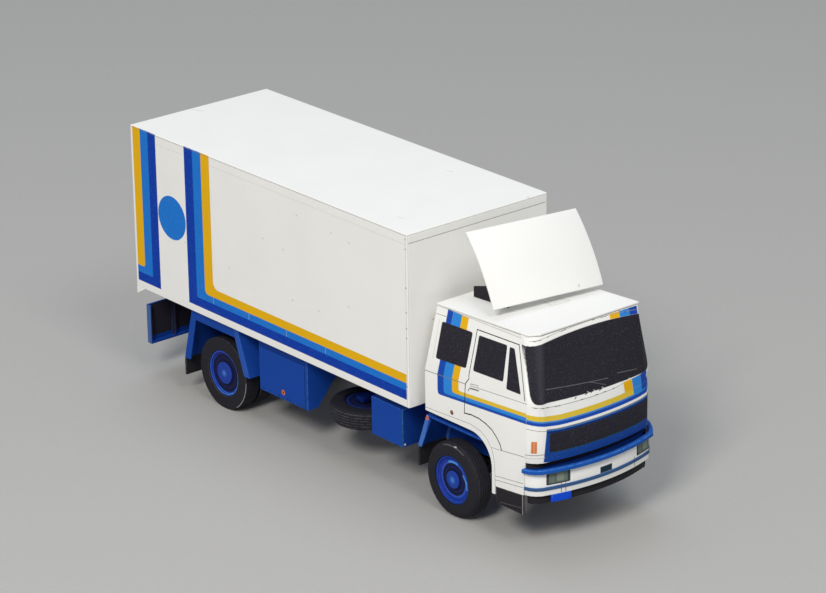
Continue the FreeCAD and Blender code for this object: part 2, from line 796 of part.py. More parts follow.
def wing_line(inset):
    """The arch panel's outer line drawn in by an amount, from its foot to its front end."""
    top_z = wing_top_z - inset
    return [(wing_foot_y - inset, wing_foot_z), (front_axle_y + wing_shoulder_reach - inset, top_z),
            (front_axle_y - wing_front_reach, top_z)]


def make_wing():
    """A strip over the wheel, a lip down its slanted rear part and a cheek behind the wheel."""
    strip = prism_x(wing_line(0) + wing_line(card)[::-1], -wing_face_x, -wing_inner_x)
    lip_line = wing_line(0)[:2] + wing_line(wing_lip_width)[1::-1]
    lip = prism_x(lip_line, -wing_face_x, -wing_face_x + card)
    cheek_line = wing_line(0) + [(front_axle_y - wing_front_reach, wing_foot_z)]
    cheek = prism_x(cheek_line, -wing_inner_x - card, -wing_inner_x)
    return strip.fuse([lip, cheek]).removeSplitter()


def make_front_flap():
    y = wing_foot_y - card
    return block(-wing_face_x, -wing_inner_x, y, y + card, wing_foot_z - wing_flap_height, wing_foot_z)


keep_pair("front_wing", make_wing())
keep_pair("front_flap", make_front_flap())


# Spare wheel, lying flat in a card carrier under the rails

def make_spare():
    face = polygon([Vector(r, 0, z) for z, r in front_tyre_profile(0)])
    solid = face.revolve(Vector(0, 0, 0), Vector(0, 0, 1), 360)
    solid.translate(Vector(spare_x, spare_y, spare_foot_z))
    return solid


def make_spare_rim():
    z = spare_foot_z + rim_inner_setback
    width = front_tyre_width - 2 * rim_inner_setback
    return Part.makeCylinder(rim_radius, width, Vector(spare_x, spare_y, z))


def make_spare_carrier():
    top = rail_bottom_z
    foot = spare_foot_z + front_tyre_width
    return block(spare_x - spare_carrier_width, rail_inner_x, spare_y - spare_carrier_width / 2,
                 spare_y + spare_carrier_width / 2, foot, top)


keep("spare_tyre", make_spare())
keep("spare_rim", make_spare_rim())
keep("spare_carrier", make_spare_carrier())


# Rear bumper: a tray open to the front, with a rib beside each lamp place

def make_rear_bumper():
    tray = block(-tray_half, tray_half, tail_y - tray_depth, tail_y, tray_foot_z, tray_top_z)
    rib = card / 2
    hollows = [(-tray_half + card, -tray_rib_x - rib), (-tray_rib_x + rib, tray_rib_x - rib),
               (tray_rib_x + rib, tray_half - card)]
    for x0, x1 in hollows:
        tray = tray.cut(block(x0, x1, tail_y - tray_depth - overrun, tray_back_y,
                              tray_foot_z + card, tray_top_z + overrun))
    return tray


keep("rear_bumper", make_rear_bumper())

os.makedirs("parts", exist_ok=True)
for name, shape in parts.items():
    shape.exportStep("parts/" + name + ".step")
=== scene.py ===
import bmesh
import bpy
import math
from collections import namedtuple
from mathutils import Matrix, Vector


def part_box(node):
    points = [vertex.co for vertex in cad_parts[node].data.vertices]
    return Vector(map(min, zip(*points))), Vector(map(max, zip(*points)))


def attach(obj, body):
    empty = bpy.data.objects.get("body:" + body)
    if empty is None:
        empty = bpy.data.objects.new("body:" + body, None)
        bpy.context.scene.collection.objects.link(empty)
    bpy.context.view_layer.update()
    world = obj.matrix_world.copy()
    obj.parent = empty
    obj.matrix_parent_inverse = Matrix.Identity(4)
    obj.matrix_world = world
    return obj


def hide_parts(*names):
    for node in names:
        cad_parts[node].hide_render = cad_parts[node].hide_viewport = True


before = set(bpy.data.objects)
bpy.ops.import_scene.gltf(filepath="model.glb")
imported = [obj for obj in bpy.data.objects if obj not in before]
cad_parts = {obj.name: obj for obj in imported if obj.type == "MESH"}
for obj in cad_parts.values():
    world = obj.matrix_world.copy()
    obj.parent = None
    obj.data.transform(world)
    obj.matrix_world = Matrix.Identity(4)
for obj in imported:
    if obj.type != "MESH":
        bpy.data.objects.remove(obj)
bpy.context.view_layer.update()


# The table top under the model, the camera that stands at the photograph's place, and three soft
# lights. The model is a few centimetres long, so the camera is a long lens half a metre away.

mm = 0.001
table_size = 4000 * mm
table_colour = (0.47, 0.458, 0.435, 1)
table_grain = 1.1
table_mottle = 0.94


def new_node(tree, kind, **settings):
    """A shader node with its plain settings."""
    made = tree.nodes.new(kind)
    for key, value in settings.items():
        setattr(made, key, value)
    return made


def feed(tree, socket, value):
    """Links another node's output to a socket, or sets the socket's own value."""
    if isinstance(value, bpy.types.NodeSocket):
        tree.links.new(value, socket)
    else:
        socket.default_value = value


def mix(tree, share, first, second):
    """The first colour with a share of the second laid over it."""
    made = new_node(tree, "ShaderNodeMix", data_type="RGBA")
    feed(tree, made.inputs["Factor"], share)
    feed(tree, made.inputs["A"], first)
    feed(tree, made.inputs["B"], second)
    return made.outputs["Result"]


def noise(tree, place, scale, detail=2.0, roughness=0.5):
    """A noise between 0 and 1 over a place."""
    made = new_node(tree, "ShaderNodeTexNoise")
    feed(tree, made.inputs["Vector"], place)
    made.inputs["Scale"].default_value = scale
    made.inputs["Detail"].default_value = detail
    made.inputs["Roughness"].default_value = roughness
    return made.outputs["Fac"]


def scaled(tree, value, scale):
    """A vector times a number."""
    made = new_node(tree, "ShaderNodeVectorMath", operation="SCALE")
    feed(tree, made.inputs["Vector"], value)
    feed(tree, made.inputs["Scale"], scale)
    return made.outputs["Vector"]


Surface = namedtuple("Surface", "material tree shader place")


def new_surface(name):
    """A new material with its node tree, its shader and its place in millimetres."""
    material = bpy.data.materials.new(name)
    material.use_nodes = True
    tree = material.node_tree
    shader = tree.nodes["Principled BSDF"]
    where = new_node(tree, "ShaderNodeTexCoord")
    return Surface(material, tree, shader, scaled(tree, where.outputs["Object"], 1 / mm))


def make_table():
    """The table top: one large pale square with a faint mottle."""
    shape = bmesh.new()
    bmesh.ops.create_grid(shape, x_segments=1, y_segments=1, size=table_size / 2)
    mesh = bpy.data.meshes.new("table_top")
    shape.to_mesh(mesh)
    shape.free()
    table = bpy.data.objects.new("table_top", mesh)
    bpy.context.scene.collection.objects.link(table)
    surface = new_surface("pale table")
    grain = noise(surface.tree, surface.place, table_grain, detail=3.0)
    darker = tuple(table_mottle * part for part in table_colour[:3]) + (1,)
    feed(surface.tree, surface.shader.inputs["Base Color"], mix(surface.tree, grain, darker, table_colour))
    surface.shader.inputs["Roughness"].default_value = 0.9
    mesh.materials.append(surface.material)


def make_camera():
    """The camera of the photograph: its place, heading, downward tilt and slight roll."""
    camera_place = Vector((-297.48, -361.58, 203.51)) * mm
    heading = math.radians(39.774)
    tilt = math.radians(21.210)
    roll = math.radians(-0.836)
    sensor_width = 36.0
    focal_length = 156.89
    data = bpy.data.cameras.new("photo_camera")
    data.sensor_fit = "HORIZONTAL"
    data.sensor_width = sensor_width
    data.lens = focal_length
    data.clip_start = 10 * mm
    data.clip_end = 20
    camera = bpy.data.objects.new("photo_camera", data)
    bpy.context.scene.collection.objects.link(camera)
    turn = Matrix.Rotation(-heading, 4, "Z") @ Matrix.Rotation(math.pi / 2 - tilt, 4, "X")
    camera.matrix_world = Matrix.Translation(camera_place) @ turn @ Matrix.Rotation(roll, 4, "Z")
    bpy.context.scene.camera = camera


def make_light(name, place, size, power, colour):
    """A square soft light, aimed at the table under the middle of the model."""
    data = bpy.data.lights.new(name, "AREA")
    data.size = size * mm
    data.energy = power
    data.color = colour
    light = bpy.data.objects.new(name, data)
    bpy.context.scene.collection.objects.link(light)
    light.location = Vector(place) * mm
    light.rotation_euler = (-light.location).to_track_quat("-Z", "Y").to_euler()


def make_world(colour, strength):
    """An even room light from all sides."""
    world = bpy.data.worlds.new("soft room")
    bpy.context.scene.world = world
    world.use_nodes = True
    backdrop = world.node_tree.nodes["Background"]
    backdrop.inputs["Color"].default_value = colour
    backdrop.inputs["Strength"].default_value = strength


warm_white, cool_white, sky_blue = (1.0, 0.98, 0.95), (0.98, 0.985, 1.0), (0.66, 0.80, 1.0)
room_colour, room_strength = (0.93, 0.96, 1.0, 1), 0.41

make_table()
make_camera()
make_light("light_key", (-450, -260, 468), 190, 2.7, warm_white)
make_light("light_front", (-105, -434, 539), 200, 0.95, cool_white)
make_light("light_above", (120, 240, 700), 300, 0.8, sky_blue)
make_world(room_colour, room_strength)
bpy.context.scene.view_settings.view_transform = "Standard"


# The box body: one sheet of card folded over the roof and down both sides, with end panels between.
# Its stripes are printed before it is cut; the folds and the cut edges show the raw paper.

def ink(red, green, blue):
    """A printed colour, given as it looks on paper from 0 to 255."""
    def linear(value):
        share = value / 255
        return share / 12.92 if share <= 0.04045 else ((share + 0.055) / 1.055) ** 2.4
    return (linear(red), linear(green), linear(blue), 1)


paper_white = ink(241, 240, 236)
dark_blue = ink(6, 60, 166)
mid_blue = ink(29, 118, 208)
stripe_yellow = ink(232, 178, 22)
line_grey = ink(120, 118, 112)
faint_grey = ink(205, 203, 196)
window_black = ink(42, 40, 48)


def new_group(name, inputs, outputs):
    """An empty shader node group with its named sockets."""
    kinds = {float: "NodeSocketFloat", tuple: "NodeSocketVector", list: "NodeSocketColor"}
    group = bpy.data.node_groups.new(name, "ShaderNodeTree")
    for label, default in inputs.items():
        socket = group.interface.new_socket(label, in_out="INPUT", socket_type=kinds[type(default)])
        socket.default_value = default
    for label, default in outputs.items():
        group.interface.new_socket(label, in_out="OUTPUT", socket_type=kinds[type(default)])
    return group, group.nodes.new("NodeGroupInput").outputs, group.nodes.new("NodeGroupOutput").inputs


def use_group(tree, group, **values):
    """A group placed in a material, with its own values."""
    placed = new_node(tree, "ShaderNodeGroup", node_tree=group)
    for label, value in values.items():
        feed(tree, placed.inputs[label.replace("_", " ")], value)
    return placed.outputs


def calculate(tree, operation, *values):
    """A Math node's result."""
    made = new_node(tree, "ShaderNodeMath", operation=operation)
    for socket, value in zip(made.inputs, values):
        feed(tree, socket, value)
    return made.outputs[0]


def times(tree, first, second):
    """One value times another."""
    return calculate(tree, "MULTIPLY", first, second)


def minus(tree, first, second):
    """One value less another."""
    return calculate(tree, "SUBTRACT", first, second)


def remap(tree, value, start, end, low=0.0, high=1.0):
    """A value eased from low at start to high at end."""
    made = new_node(tree, "ShaderNodeMapRange", interpolation_type="SMOOTHSTEP")
    for socket, given in zip(made.inputs, (value, start, end, low, high)):
        feed(tree, socket, given)
    return made.outputs[0]


def parts_of(tree, value):
    """The X, Y and Z of a vector."""
    split = new_node(tree, "ShaderNodeSeparateXYZ")
    tree.links.new(value, split.inputs["Vector"])
    return split.outputs


def joined(tree, x, y, z):
    """A vector from its X, Y and Z."""
    made = new_node(tree, "ShaderNodeCombineXYZ")
    for socket, value in zip(made.inputs, (x, y, z)):
        feed(tree, socket, value)
    return made.outputs["Vector"]


def vector(tree, operation, *values):
    """A Vector Math node's result."""
    made = new_node(tree, "ShaderNodeVectorMath", operation=operation)
    for socket, value in zip(made.inputs, values):
        feed(tree, socket, value)
    return made.outputs["Value" if operation in ("DOT_PRODUCT", "LENGTH") else "Vector"]


origin = (0.0, 0.0, 0.0)
toner_edge = 0.05
toner_ragged = 0.07
toner_grain = 6.0


def line_from(group, distance, width, soft):
    """A line of the given width where a distance is nought."""
    off = minus(group, calculate(group, "ABSOLUTE", distance), calculate(group, "DIVIDE", width, 2.0))
    return remap(group, off, calculate(group, "DIVIDE", soft, 2.0), calculate(group, "DIVIDE", soft, -2.0))


def make_printed_area():
    """A four-sided printed area with rounded corners, listed so that its inside is on the left."""
    labels = ["First", "Second", "Third", "Fourth"]
    inputs = {"Place": origin, **{label: origin for label in labels}, "Rounding": 0.0, "Width": 0.0}
    group, given, result = new_group("printed area", inputs, {"Fill": 0.0, "Line": 0.0})
    corners = [given[label] for label in labels]
    reach = times(group, given["Rounding"], 1.75)
    distance = None
    for start, end in zip(corners, corners[1:] + corners[:1]):
        outward = vector(group, "CROSS_PRODUCT", vector(group, "SUBTRACT", end, start), (0, 0, 1))
        offset = vector(group, "SUBTRACT", given["Place"], start)
        side = vector(group, "DOT_PRODUCT", offset, vector(group, "NORMALIZE", outward))
        distance = side if distance is None else calculate(group, "SMOOTH_MAX", distance, side, reach)
    group.links.new(remap(group, distance, toner_edge, -toner_edge), result["Fill"])
    group.links.new(line_from(group, distance, given["Width"], toner_edge), result["Line"])
    return group


def make_printed_block():
    """An upright printed block between a low and a high corner, with round corners."""
    inputs = {"Place": origin, "Low": origin, "High": origin, "Rounding": 0.0}
    group, given, result = new_group("printed block", inputs, {"Fill": 0.0})
    over = vector(group, "SUBTRACT", given["Place"], given["High"])
    under = vector(group, "SUBTRACT", given["Low"], given["Place"])
    past = vector(group, "MULTIPLY", vector(group, "MAXIMUM", over, under), (1, 1, 0))
    past = vector(group, "MULTIPLY_ADD", given["Rounding"], (1, 1, 0), past)
    outside = vector(group, "LENGTH", vector(group, "MAXIMUM", past, (0, 0, 0)))
    parts = parts_of(group, past)
    inside = calculate(group, "MINIMUM", calculate(group, "MAXIMUM", parts["X"], parts["Y"]), 0.0)
    distance = minus(group, calculate(group, "ADD", outside, inside), given["Rounding"])
    group.links.new(remap(group, distance, toner_edge, -toner_edge), result["Fill"])
    return group


def make_printed_line():
    """A straight printed line between two points, its edges as sharp or soft as asked."""
    inputs = {"Place": origin, "Start": origin, "End": origin, "Width": 0.1, "Soft": toner_edge}
    group, given, result = new_group("printed line", inputs, {"Line": 0.0})
    along = vector(group, "SUBTRACT", given["End"], given["Start"])
    offset = vector(group, "SUBTRACT", given["Place"], given["Start"])
    share = calculate(group, "DIVIDE", vector(group, "DOT_PRODUCT", offset, along),
                      vector(group, "DOT_PRODUCT", along, along))
    share = calculate(group, "MINIMUM", calculate(group, "MAXIMUM", share, 0.0), 1.0)
    off = vector(group, "LENGTH", vector(group, "SUBTRACT", offset, scaled(group, along, share)))
    group.links.new(line_from(group, off, given["Width"], given["Soft"]), result["Line"])
    return group


def make_printed_disc():
    """A printed disc, and a ring of the given width at its edge."""
    inputs = {"Place": origin, "Centre": origin, "Radius": 1.0, "Width": 0.1}
    group, given, result = new_group("printed disc", inputs, {"Fill": 0.0, "Line": 0.0})
    out = vector(group, "LENGTH", vector(group, "SUBTRACT", given["Place"], given["Centre"]))
    distance = minus(group, out, given["Radius"])
    group.links.new(remap(group, distance, toner_edge, -toner_edge), result["Fill"])
    group.links.new(line_from(group, distance, given["Width"], toner_edge), result["Line"])
    return group


card_gloss = 0.06
bare_roughness, toner_shine = 0.78, -0.22
fibre_scale, toner_scale, cloud_scale, scuff_scale, speck_scale = 3.2, 5.0, 0.13, 1.6, 0.28
tone_change = 0.05
fibre_height = 0.03 * mm


def brightness(tree, colour):
    """How light a colour is, from 0 to 1."""
    made = new_node(tree, "ShaderNodeRGBToBW")
    tree.links.new(colour, made.inputs["Color"])
    return made.outputs["Val"]


def make_card_finish():
    """Matt laser-printed card: fibre grain, toner mottle, stray specks and worn folds."""
    inputs = {"Place": origin, "Print": [0.8, 0.8, 0.8, 1], "Paper": [0.8, 0.8, 0.8, 1],
              "Fold": 0.0, "Wear": 0.6, "Mottle": 0.5}
    outputs = {"Colour": [0, 0, 0, 1], "Roughness": 0.0, "Normal": origin}
    group, given, result = new_group("printed card finish", inputs, outputs)
    place = given["Place"]
    cover = remap(group, brightness(group, given["Print"]), 0.75, 0.15)
    fibre = noise(group, place, fibre_scale, detail=4.0, roughness=0.7)
    toner = noise(group, place, toner_scale, detail=3.0, roughness=0.8)
    cloud = noise(group, place, cloud_scale, detail=2.0)
    tones = [calculate(group, "MULTIPLY_ADD", minus(group, grain, 0.5), tone_change, 1.0)
             for grain in (fibre, cloud)]
    tone = times(group, *tones)
    toned = scaled(group, given["Print"], tone)
    speck = remap(group, toner, 0.52, 0.85, 0.0, 0.35)
    speck = times(group, times(group, speck, cover), given["Mottle"])
    colour = mix(group, speck, toned, given["Paper"])
    scatter = new_node(group, "ShaderNodeTexVoronoi", feature="F1")
    group.links.new(place, scatter.inputs["Vector"])
    scatter.inputs["Scale"].default_value = speck_scale
    dot = remap(group, scatter.outputs["Distance"], 0.075, 0.03)
    pick = brightness(group, scatter.outputs["Color"])
    dot = times(group, dot, remap(group, pick, 0.76, 0.82, 0.0, 0.35))
    dot = times(group, dot, minus(group, 1.0, cover))
    colour = mix(group, dot, colour, line_grey)
    scuff = remap(group, noise(group, place, scuff_scale, detail=4.0, roughness=0.7), 0.36, 0.62)
    worn = times(group, times(group, given["Fold"], given["Wear"]), scuff)
    colour = mix(group, worn, colour, given["Paper"])
    group.links.new(colour, result["Colour"])
    shine = calculate(group, "MULTIPLY_ADD", cover, toner_shine, bare_roughness)
    shine = calculate(group, "MULTIPLY_ADD", minus(group, toner, 0.5), 0.2, shine)
    group.links.new(shine, result["Roughness"])
    bump = new_node(group, "ShaderNodeBump")
    bump.inputs["Strength"].default_value = 0.5
    bump.inputs["Distance"].default_value = fibre_height
    height = calculate(group, "MULTIPLY_ADD", cloud, 6.0, fibre)
    group.links.new(height, bump.inputs["Height"])
    group.links.new(bump.outputs["Normal"], result["Normal"])
    return group


printed_area = make_printed_area()
printed_block = make_printed_block()
printed_line = make_printed_line()
printed_disc = make_printed_disc()
card_finish = make_card_finish()


def flat_place(tree, place, across, up):
    """The place on a flat print, from two of the axes, with the small unevenness of toner."""
    parts = parts_of(tree, place)
    flat = joined(tree, parts[across], parts[up], 0.0)
    grain = new_node(tree, "ShaderNodeTexNoise")
    tree.links.new(place, grain.inputs["Vector"])
    grain.inputs["Scale"].default_value = toner_grain
    shake = vector(tree, "SUBTRACT", grain.outputs["Color"], (0.5, 0.5, 0.5))
    return vector(tree, "MULTIPLY_ADD", shake, (toner_ragged, toner_ragged, 0), flat)


def faces_towards(tree, axis, sign=0):
    """1 where the surface faces along an axis: its plus side, its minus side, or both for 0."""
    where = new_node(tree, "ShaderNodeTexCoord")
    facing = parts_of(tree, where.outputs["Normal"])[axis]
    facing = calculate(tree, "ABSOLUTE", facing) if sign == 0 else times(tree, facing, sign)
    return remap(tree, facing, 0.55, 0.75)


class Sheet:
    """One side of a printed sheet: the colour so far, and where on it the next ink goes."""

    def __init__(self, tree, flat, colour, within):
        self.tree = tree
        self.flat = flat
        self.colour = colour
        self.within = within

    def lay(self, mask, colour, share):
        """One ink over the colour so far, where the mask is 1."""
        within = self.within if share == 1.0 else times(self.tree, self.within, share)
        self.colour = mix(self.tree, times(self.tree, mask, within), self.colour, colour)

    def shape(self, corners, rounding, width=0.0):
        """A four-sided area's masks, its corners taken in the order that keeps its inside on the left."""
        area = sum(a[0] * b[1] - b[0] * a[1] for a, b in zip(corners, corners[1:] + corners[:1]))
        ordered = corners if area > 0 else corners[::-1]
        first, second, third, fourth = [(u, v, 0.0) for u, v in ordered]
        return use_group(self.tree, printed_area, Place=self.flat, First=first, Second=second,
                         Third=third, Fourth=fourth, Rounding=rounding, Width=width)

    def area(self, corners, colour, rounding=0.0, share=1.0):
        """A four-sided patch of ink."""
        self.lay(self.shape(corners, rounding)["Fill"], colour, share)

    def outline(self, corners, colour, width, rounding=0.0, share=1.0):
        """A line of ink round a four-sided patch."""
        self.lay(self.shape(corners, rounding, width)["Line"], colour, share)

    def block(self, low, high, colour, rounding=0.0, share=1.0):
        """An upright patch of ink between a low and a high corner."""
        placed = use_group(self.tree, printed_block, Place=self.flat, Low=(*low, 0.0),
                           High=(*high, 0.0), Rounding=rounding)
        self.lay(placed["Fill"], colour, share)

    def lines(self, points, colour, width, share=1.0, soft=toner_edge):
        """A line of ink through some points."""
        for start, end in zip(points, points[1:]):
            placed = use_group(self.tree, printed_line, Place=self.flat, Start=(*start, 0.0),
                               End=(*end, 0.0), Width=width, Soft=soft)
            self.lay(placed["Line"], colour, share)

    def disc(self, centre, radius, colour, share=1.0):
        """A round patch of ink."""
        placed = use_group(self.tree, printed_disc, Place=self.flat, Centre=(*centre, 0.0), Radius=radius)
        self.lay(placed["Fill"], colour, share)

    def ring(self, centre, radius, width, colour, share=1.0):
        """A ring of ink."""
        placed = use_group(self.tree, printed_disc, Place=self.flat, Centre=(*centre, 0.0),
                           Radius=radius, Width=width)
        self.lay(placed["Line"], colour, share)


def facing_sheet(surface, across, up, colour, axis, sign=0):
    """The faces of a piece that look along an axis, printed by two of its measures."""
    flat = flat_place(surface.tree, surface.place, across, up)
    return Sheet(surface.tree, flat, colour, faces_towards(surface.tree, axis, sign))


def side_sheet(surface, colour):
    """The outside of a piece's right and left faces, by length and height."""
    return facing_sheet(surface, "Y", "Z", colour, "X")


def end_sheet(surface, colour, sign):
    """The outside of a piece's front (-1) or rear (1) face, by width and height."""
    return facing_sheet(surface, "X", "Z", colour, "Y", sign)


def top_sheet(surface, colour):
    """The top of a piece, by width and length."""
    return facing_sheet(surface, "X", "Y", colour, "Z", 1)


def finish_card(surface, colour, paper, wear=0.45, mottle=0.4):
    """Sends a printed colour through the card finish to the shader."""
    fold = new_node(surface.tree, "ShaderNodeAttribute", attribute_name="fold")
    looks = use_group(surface.tree, card_finish, Place=surface.place, Print=colour, Paper=paper,
                      Fold=fold.outputs["Fac"], Wear=wear, Mottle=mottle)
    for label, socket in (("Colour", "Base Color"), ("Roughness", "Roughness"), ("Normal", "Normal")):
        surface.tree.links.new(looks[label], surface.shader.inputs[socket])
    surface.shader.inputs["Specular IOR Level"].default_value = card_gloss
    return surface.material


def plain_card(name, colour, paper, wear=0.8, mottle=0.5):
    """Card printed in one colour."""
    return finish_card(new_surface(name), colour, paper, wear, mottle)


weld_distance = 0.001 * mm
smooth_angle = math.radians(50)


def card_piece(node, material, fold=0.08, turn=25, body="truck", rolled=False):
    """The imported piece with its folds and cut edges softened, and marked for the wear on them."""
    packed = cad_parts[node]
    shape = bmesh.new()
    shape.from_mesh(packed.data)
    bmesh.ops.remove_doubles(shape, verts=shape.verts, dist=weld_distance)
    flat_angle = 0.1 if rolled else 1.0
    bmesh.ops.dissolve_limit(shape, angle_limit=math.radians(flat_angle), verts=shape.verts,
                             edges=shape.edges)
    marks = shape.faces.layers.float.new("fold")
    sharp = [edge for edge in shape.edges
             if edge.is_manifold and edge.calc_face_angle() > math.radians(turn)]
    made = bmesh.ops.bevel(shape, geom=sharp, offset=fold * mm, offset_type="OFFSET", segments=2,
                           profile=0.5, affect="EDGES", material=-1, clamp_overlap=True)
    for face in made["faces"]:
        face[marks] = 1.0
    return keep_piece(shape, node + "_card", material, body, [node], rolled)


def keep_piece(shape, name, material, body="truck", stands_for=(), rolled=False):
    """Makes a finished shape a piece of the model: smooth, in its material and on its body."""
    for face in shape.faces:
        face.smooth = True
    mesh = bpy.data.meshes.new(name)
    shape.to_mesh(mesh)
    shape.free()
    mesh.set_sharp_from_angle(angle=smooth_angle)
    mesh.materials.append(material)
    piece = bpy.data.objects.new(name, mesh)
    bpy.context.scene.collection.objects.link(piece)
    if not rolled:
        weighted = piece.modifiers.new("flat faces", "WEIGHTED_NORMAL")
        weighted.keep_sharp = True
    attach(piece, body)
    if stands_for:
        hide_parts(*stands_for)
    return piece


# Farther out than any piece, for prints that run off an edge.
far = 60.0
box_low, box_high = [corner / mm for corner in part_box("box_wrap")]
box_front_y = box_low.y
box_foot_z, box_top_z = box_low.z, box_high.z

roof_marks = ((-1.3, 42.7), (-0.9, 41.9), (-8.7, -12.9), (8.5, -3.1))
corner_dots_z = (17.2, 24.2, 25.6, 27.9, 31.4, 36.9, 38.3)
side_specks = ((5.4, 35.4), (-2.2, 34.9), (13.2, 29.9), (-6.0, 34.5), (8.6, 29.5), (-5.6, 25.1),
               (0.9, 22.6))
joint_marks_y = (-0.2, 8.5, 17.1, 25.4)


def box_print():
    """The wrap's print: two groups of stripes, each turned forward at its foot, and a plain disc."""
    surface = new_surface("printed box card")
    side = side_sheet(surface, paper_white)
    stripe_width = 1.87
    rear_group_y = 38.1
    second_group_y = 31.25
    rear_margin_y = 43.64
    front_margin_y = -17.62
    inks = (dark_blue, mid_blue, stripe_yellow)
    feet = (15.24, 16.6, 17.65, 18.94)
    for step, (colour, foot) in enumerate(zip(inks, feet)):
        y = rear_group_y + step * stripe_width
        side.block((y, foot), (far, far), colour, rounding=0.25 * step)
    side.block((rear_margin_y, -far), (far, far), paper_white)
    for step, (colour, foot) in enumerate(zip(inks + (paper_white,), feet)):
        y = second_group_y - step * stripe_width * 1.055
        side.block((-far, foot), (y, far), colour, rounding=0.4 * step)
    side.block((-far, feet[0] - 1), (front_margin_y, feet[3] + 1), paper_white)
    side.disc((34.7, 27.2), 3.3, mid_blue)
    roof_line_z = box_top_z - 0.22
    second_line_z = box_top_z - 1.45
    side.lines([(-far, roof_line_z), (far, roof_line_z)], line_grey, 0.07, share=0.75)
    side.lines([(-far, second_line_z), (second_group_y - 6, second_line_z)], faint_grey, 0.1, share=0.45)
    side.lines([(31.5, second_line_z), (38.0, second_line_z)], faint_grey, 0.1, share=0.4)
    for y in joint_marks_y:
        side.lines([(y, feet[1] + 0.1), (y, feet[2] - 0.1)], paper_white, 0.1, share=0.3)
    corner_line_y = box_front_y + 0.3
    side.lines([(corner_line_y, -far), (corner_line_y, far)], line_grey, 0.08, share=0.45)
    for z in corner_dots_z:
        side.disc((corner_line_y, z), 0.12, line_grey, share=0.8)
    for y, z in side_specks:
        side.lines([(y, z), (y + 0.25, z + 0.12)], line_grey, 0.13, share=0.45)
    roof = top_sheet(surface, side.colour)
    for x, y in roof_marks:
        roof.lines([(x, y), (x - 0.3, y + 0.9)], faint_grey, 0.14, share=0.9)
    return finish_card(surface, roof.colour, paper_white, wear=0.5, mottle=0.4)


def front_panel_print():
    """The front panel: a line below its top edge where the roof rail would be."""
    surface = new_surface("printed front panel card")
    face = end_sheet(surface, paper_white, -1)
    rail_line_z = box_top_z - 1.35
    face.lines([(-far, rail_line_z), (far, rail_line_z)], line_grey, 0.11, share=0.75)
    return finish_card(surface, face.colour, paper_white, wear=0.5, mottle=0.4)


def rear_panel_print():
    """The rear panel: two doors in thin lines, each with a locking bar and four hinges."""
    surface = new_surface("printed rear panel card")
    face = end_sheet(surface, paper_white, 1)
    door_top_z, door_foot_z, door_half = box_top_z - 1.4, box_foot_z + 1.0, 11.2
    face.outline([(-door_half, door_foot_z), (door_half, door_foot_z), (door_half, door_top_z),
                  (-door_half, door_top_z)], line_grey, 0.12)
    face.lines([(0, door_foot_z), (0, door_top_z)], line_grey, 0.14)
    for x in (-3.4, 3.4):
        face.lines([(x, door_foot_z), (x, door_top_z)], line_grey, 0.3, share=0.6)
        face.block((x - 1.1, 21.0), (x + 1.1, 21.7), line_grey, share=0.7)
    for x in (-door_half, door_half):
        for z in (17.5, 23.5, 29.5, 35.5):
            face.block((x - 0.45, z - 0.3), (x + 0.45, z + 0.3), line_grey, share=0.6)
    return finish_card(surface, face.colour, paper_white, wear=0.5, mottle=0.4)


white_card = plain_card("white card", paper_white, paper_white)
card_piece("box_wrap", box_print(), fold=0.12)
card_piece("box_front_panel", front_panel_print(), fold=0.06)
card_piece("box_rear_panel", rear_panel_print(), fold=0.06)
for node in ("box_floor", "box_corner_tab_right", "box_corner_tab_left"):
    card_piece(node, white_card, fold=0.05)


# The frame under the box: rails, cross-members, bearers, axles and springs, all blue printed card
# or black card, glued together on the table.

frame_blue = ink(24, 70, 160)
shade_blue = ink(14, 42, 112)
raw_paper_and_highlight_blue = ink(88, 138, 214)
soft_black = ink(42, 40, 44)
raw_paper_and_highlight_grey = ink(112, 110, 112)

painted_shade_blue_card = plain_card("blue card with painted shade", shade_blue, frame_blue, wear=0.5, mottle=0.4)
blue_card = plain_card("blue card", frame_blue, raw_paper_and_highlight_blue)
black_card = plain_card("black card", soft_black, raw_paper_and_highlight_grey, wear=0.35, mottle=0.3)

for node in ("frame_rail_right", "frame_rail_left", "frame_crossmembers", "box_bearers", "cab_mounts"):
    card_piece(node, blue_card)
# The spare carrier is dark blue as painted shade, for the shade under the box.
card_piece("spare_carrier", painted_shade_blue_card)
for node in ("front_axle", "rear_axle", "front_springs", "rear_springs"):
    card_piece(node, black_card)


# Lockers and boxes on the frame's sides: blue card folded at the scored lines, with panel lines and
# small round side lamps printed on them.

lamp_orange = ink(206, 112, 62)
teal = ink(22, 84, 96)


def locker_print():
    """The locker: a lid line along its top and front, a lamp and rivet dots near its foot."""
    surface = new_surface("printed locker card")
    side = side_sheet(surface, frame_blue)
    low, high = [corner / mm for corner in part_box("locker_right")]
    lid_z = high.z - 1.55
    corner_y = low.y + 0.62
    side.block((-far, lid_z), (far, far), shade_blue, share=0.35)
    side.lines([(high.y - 0.4, lid_z), (corner_y, lid_z), (corner_y, low.z)], shade_blue, 0.16)
    side.lines([(corner_y + 0.25, low.z), (corner_y + 0.25, lid_z)], teal, 0.1, share=0.7)
    side.disc((11.3, 6.95), 0.4, lamp_orange)
    side.disc((11.3, 6.95), 0.17, ink(120, 48, 30))
    for y in (7.0, 7.9, 9.7, 10.4, 12.3, 14.4, 15.8):
        side.disc((y, low.z + 0.35), 0.14, shade_blue)
    return finish_card(surface, side.colour, raw_paper_and_highlight_blue)


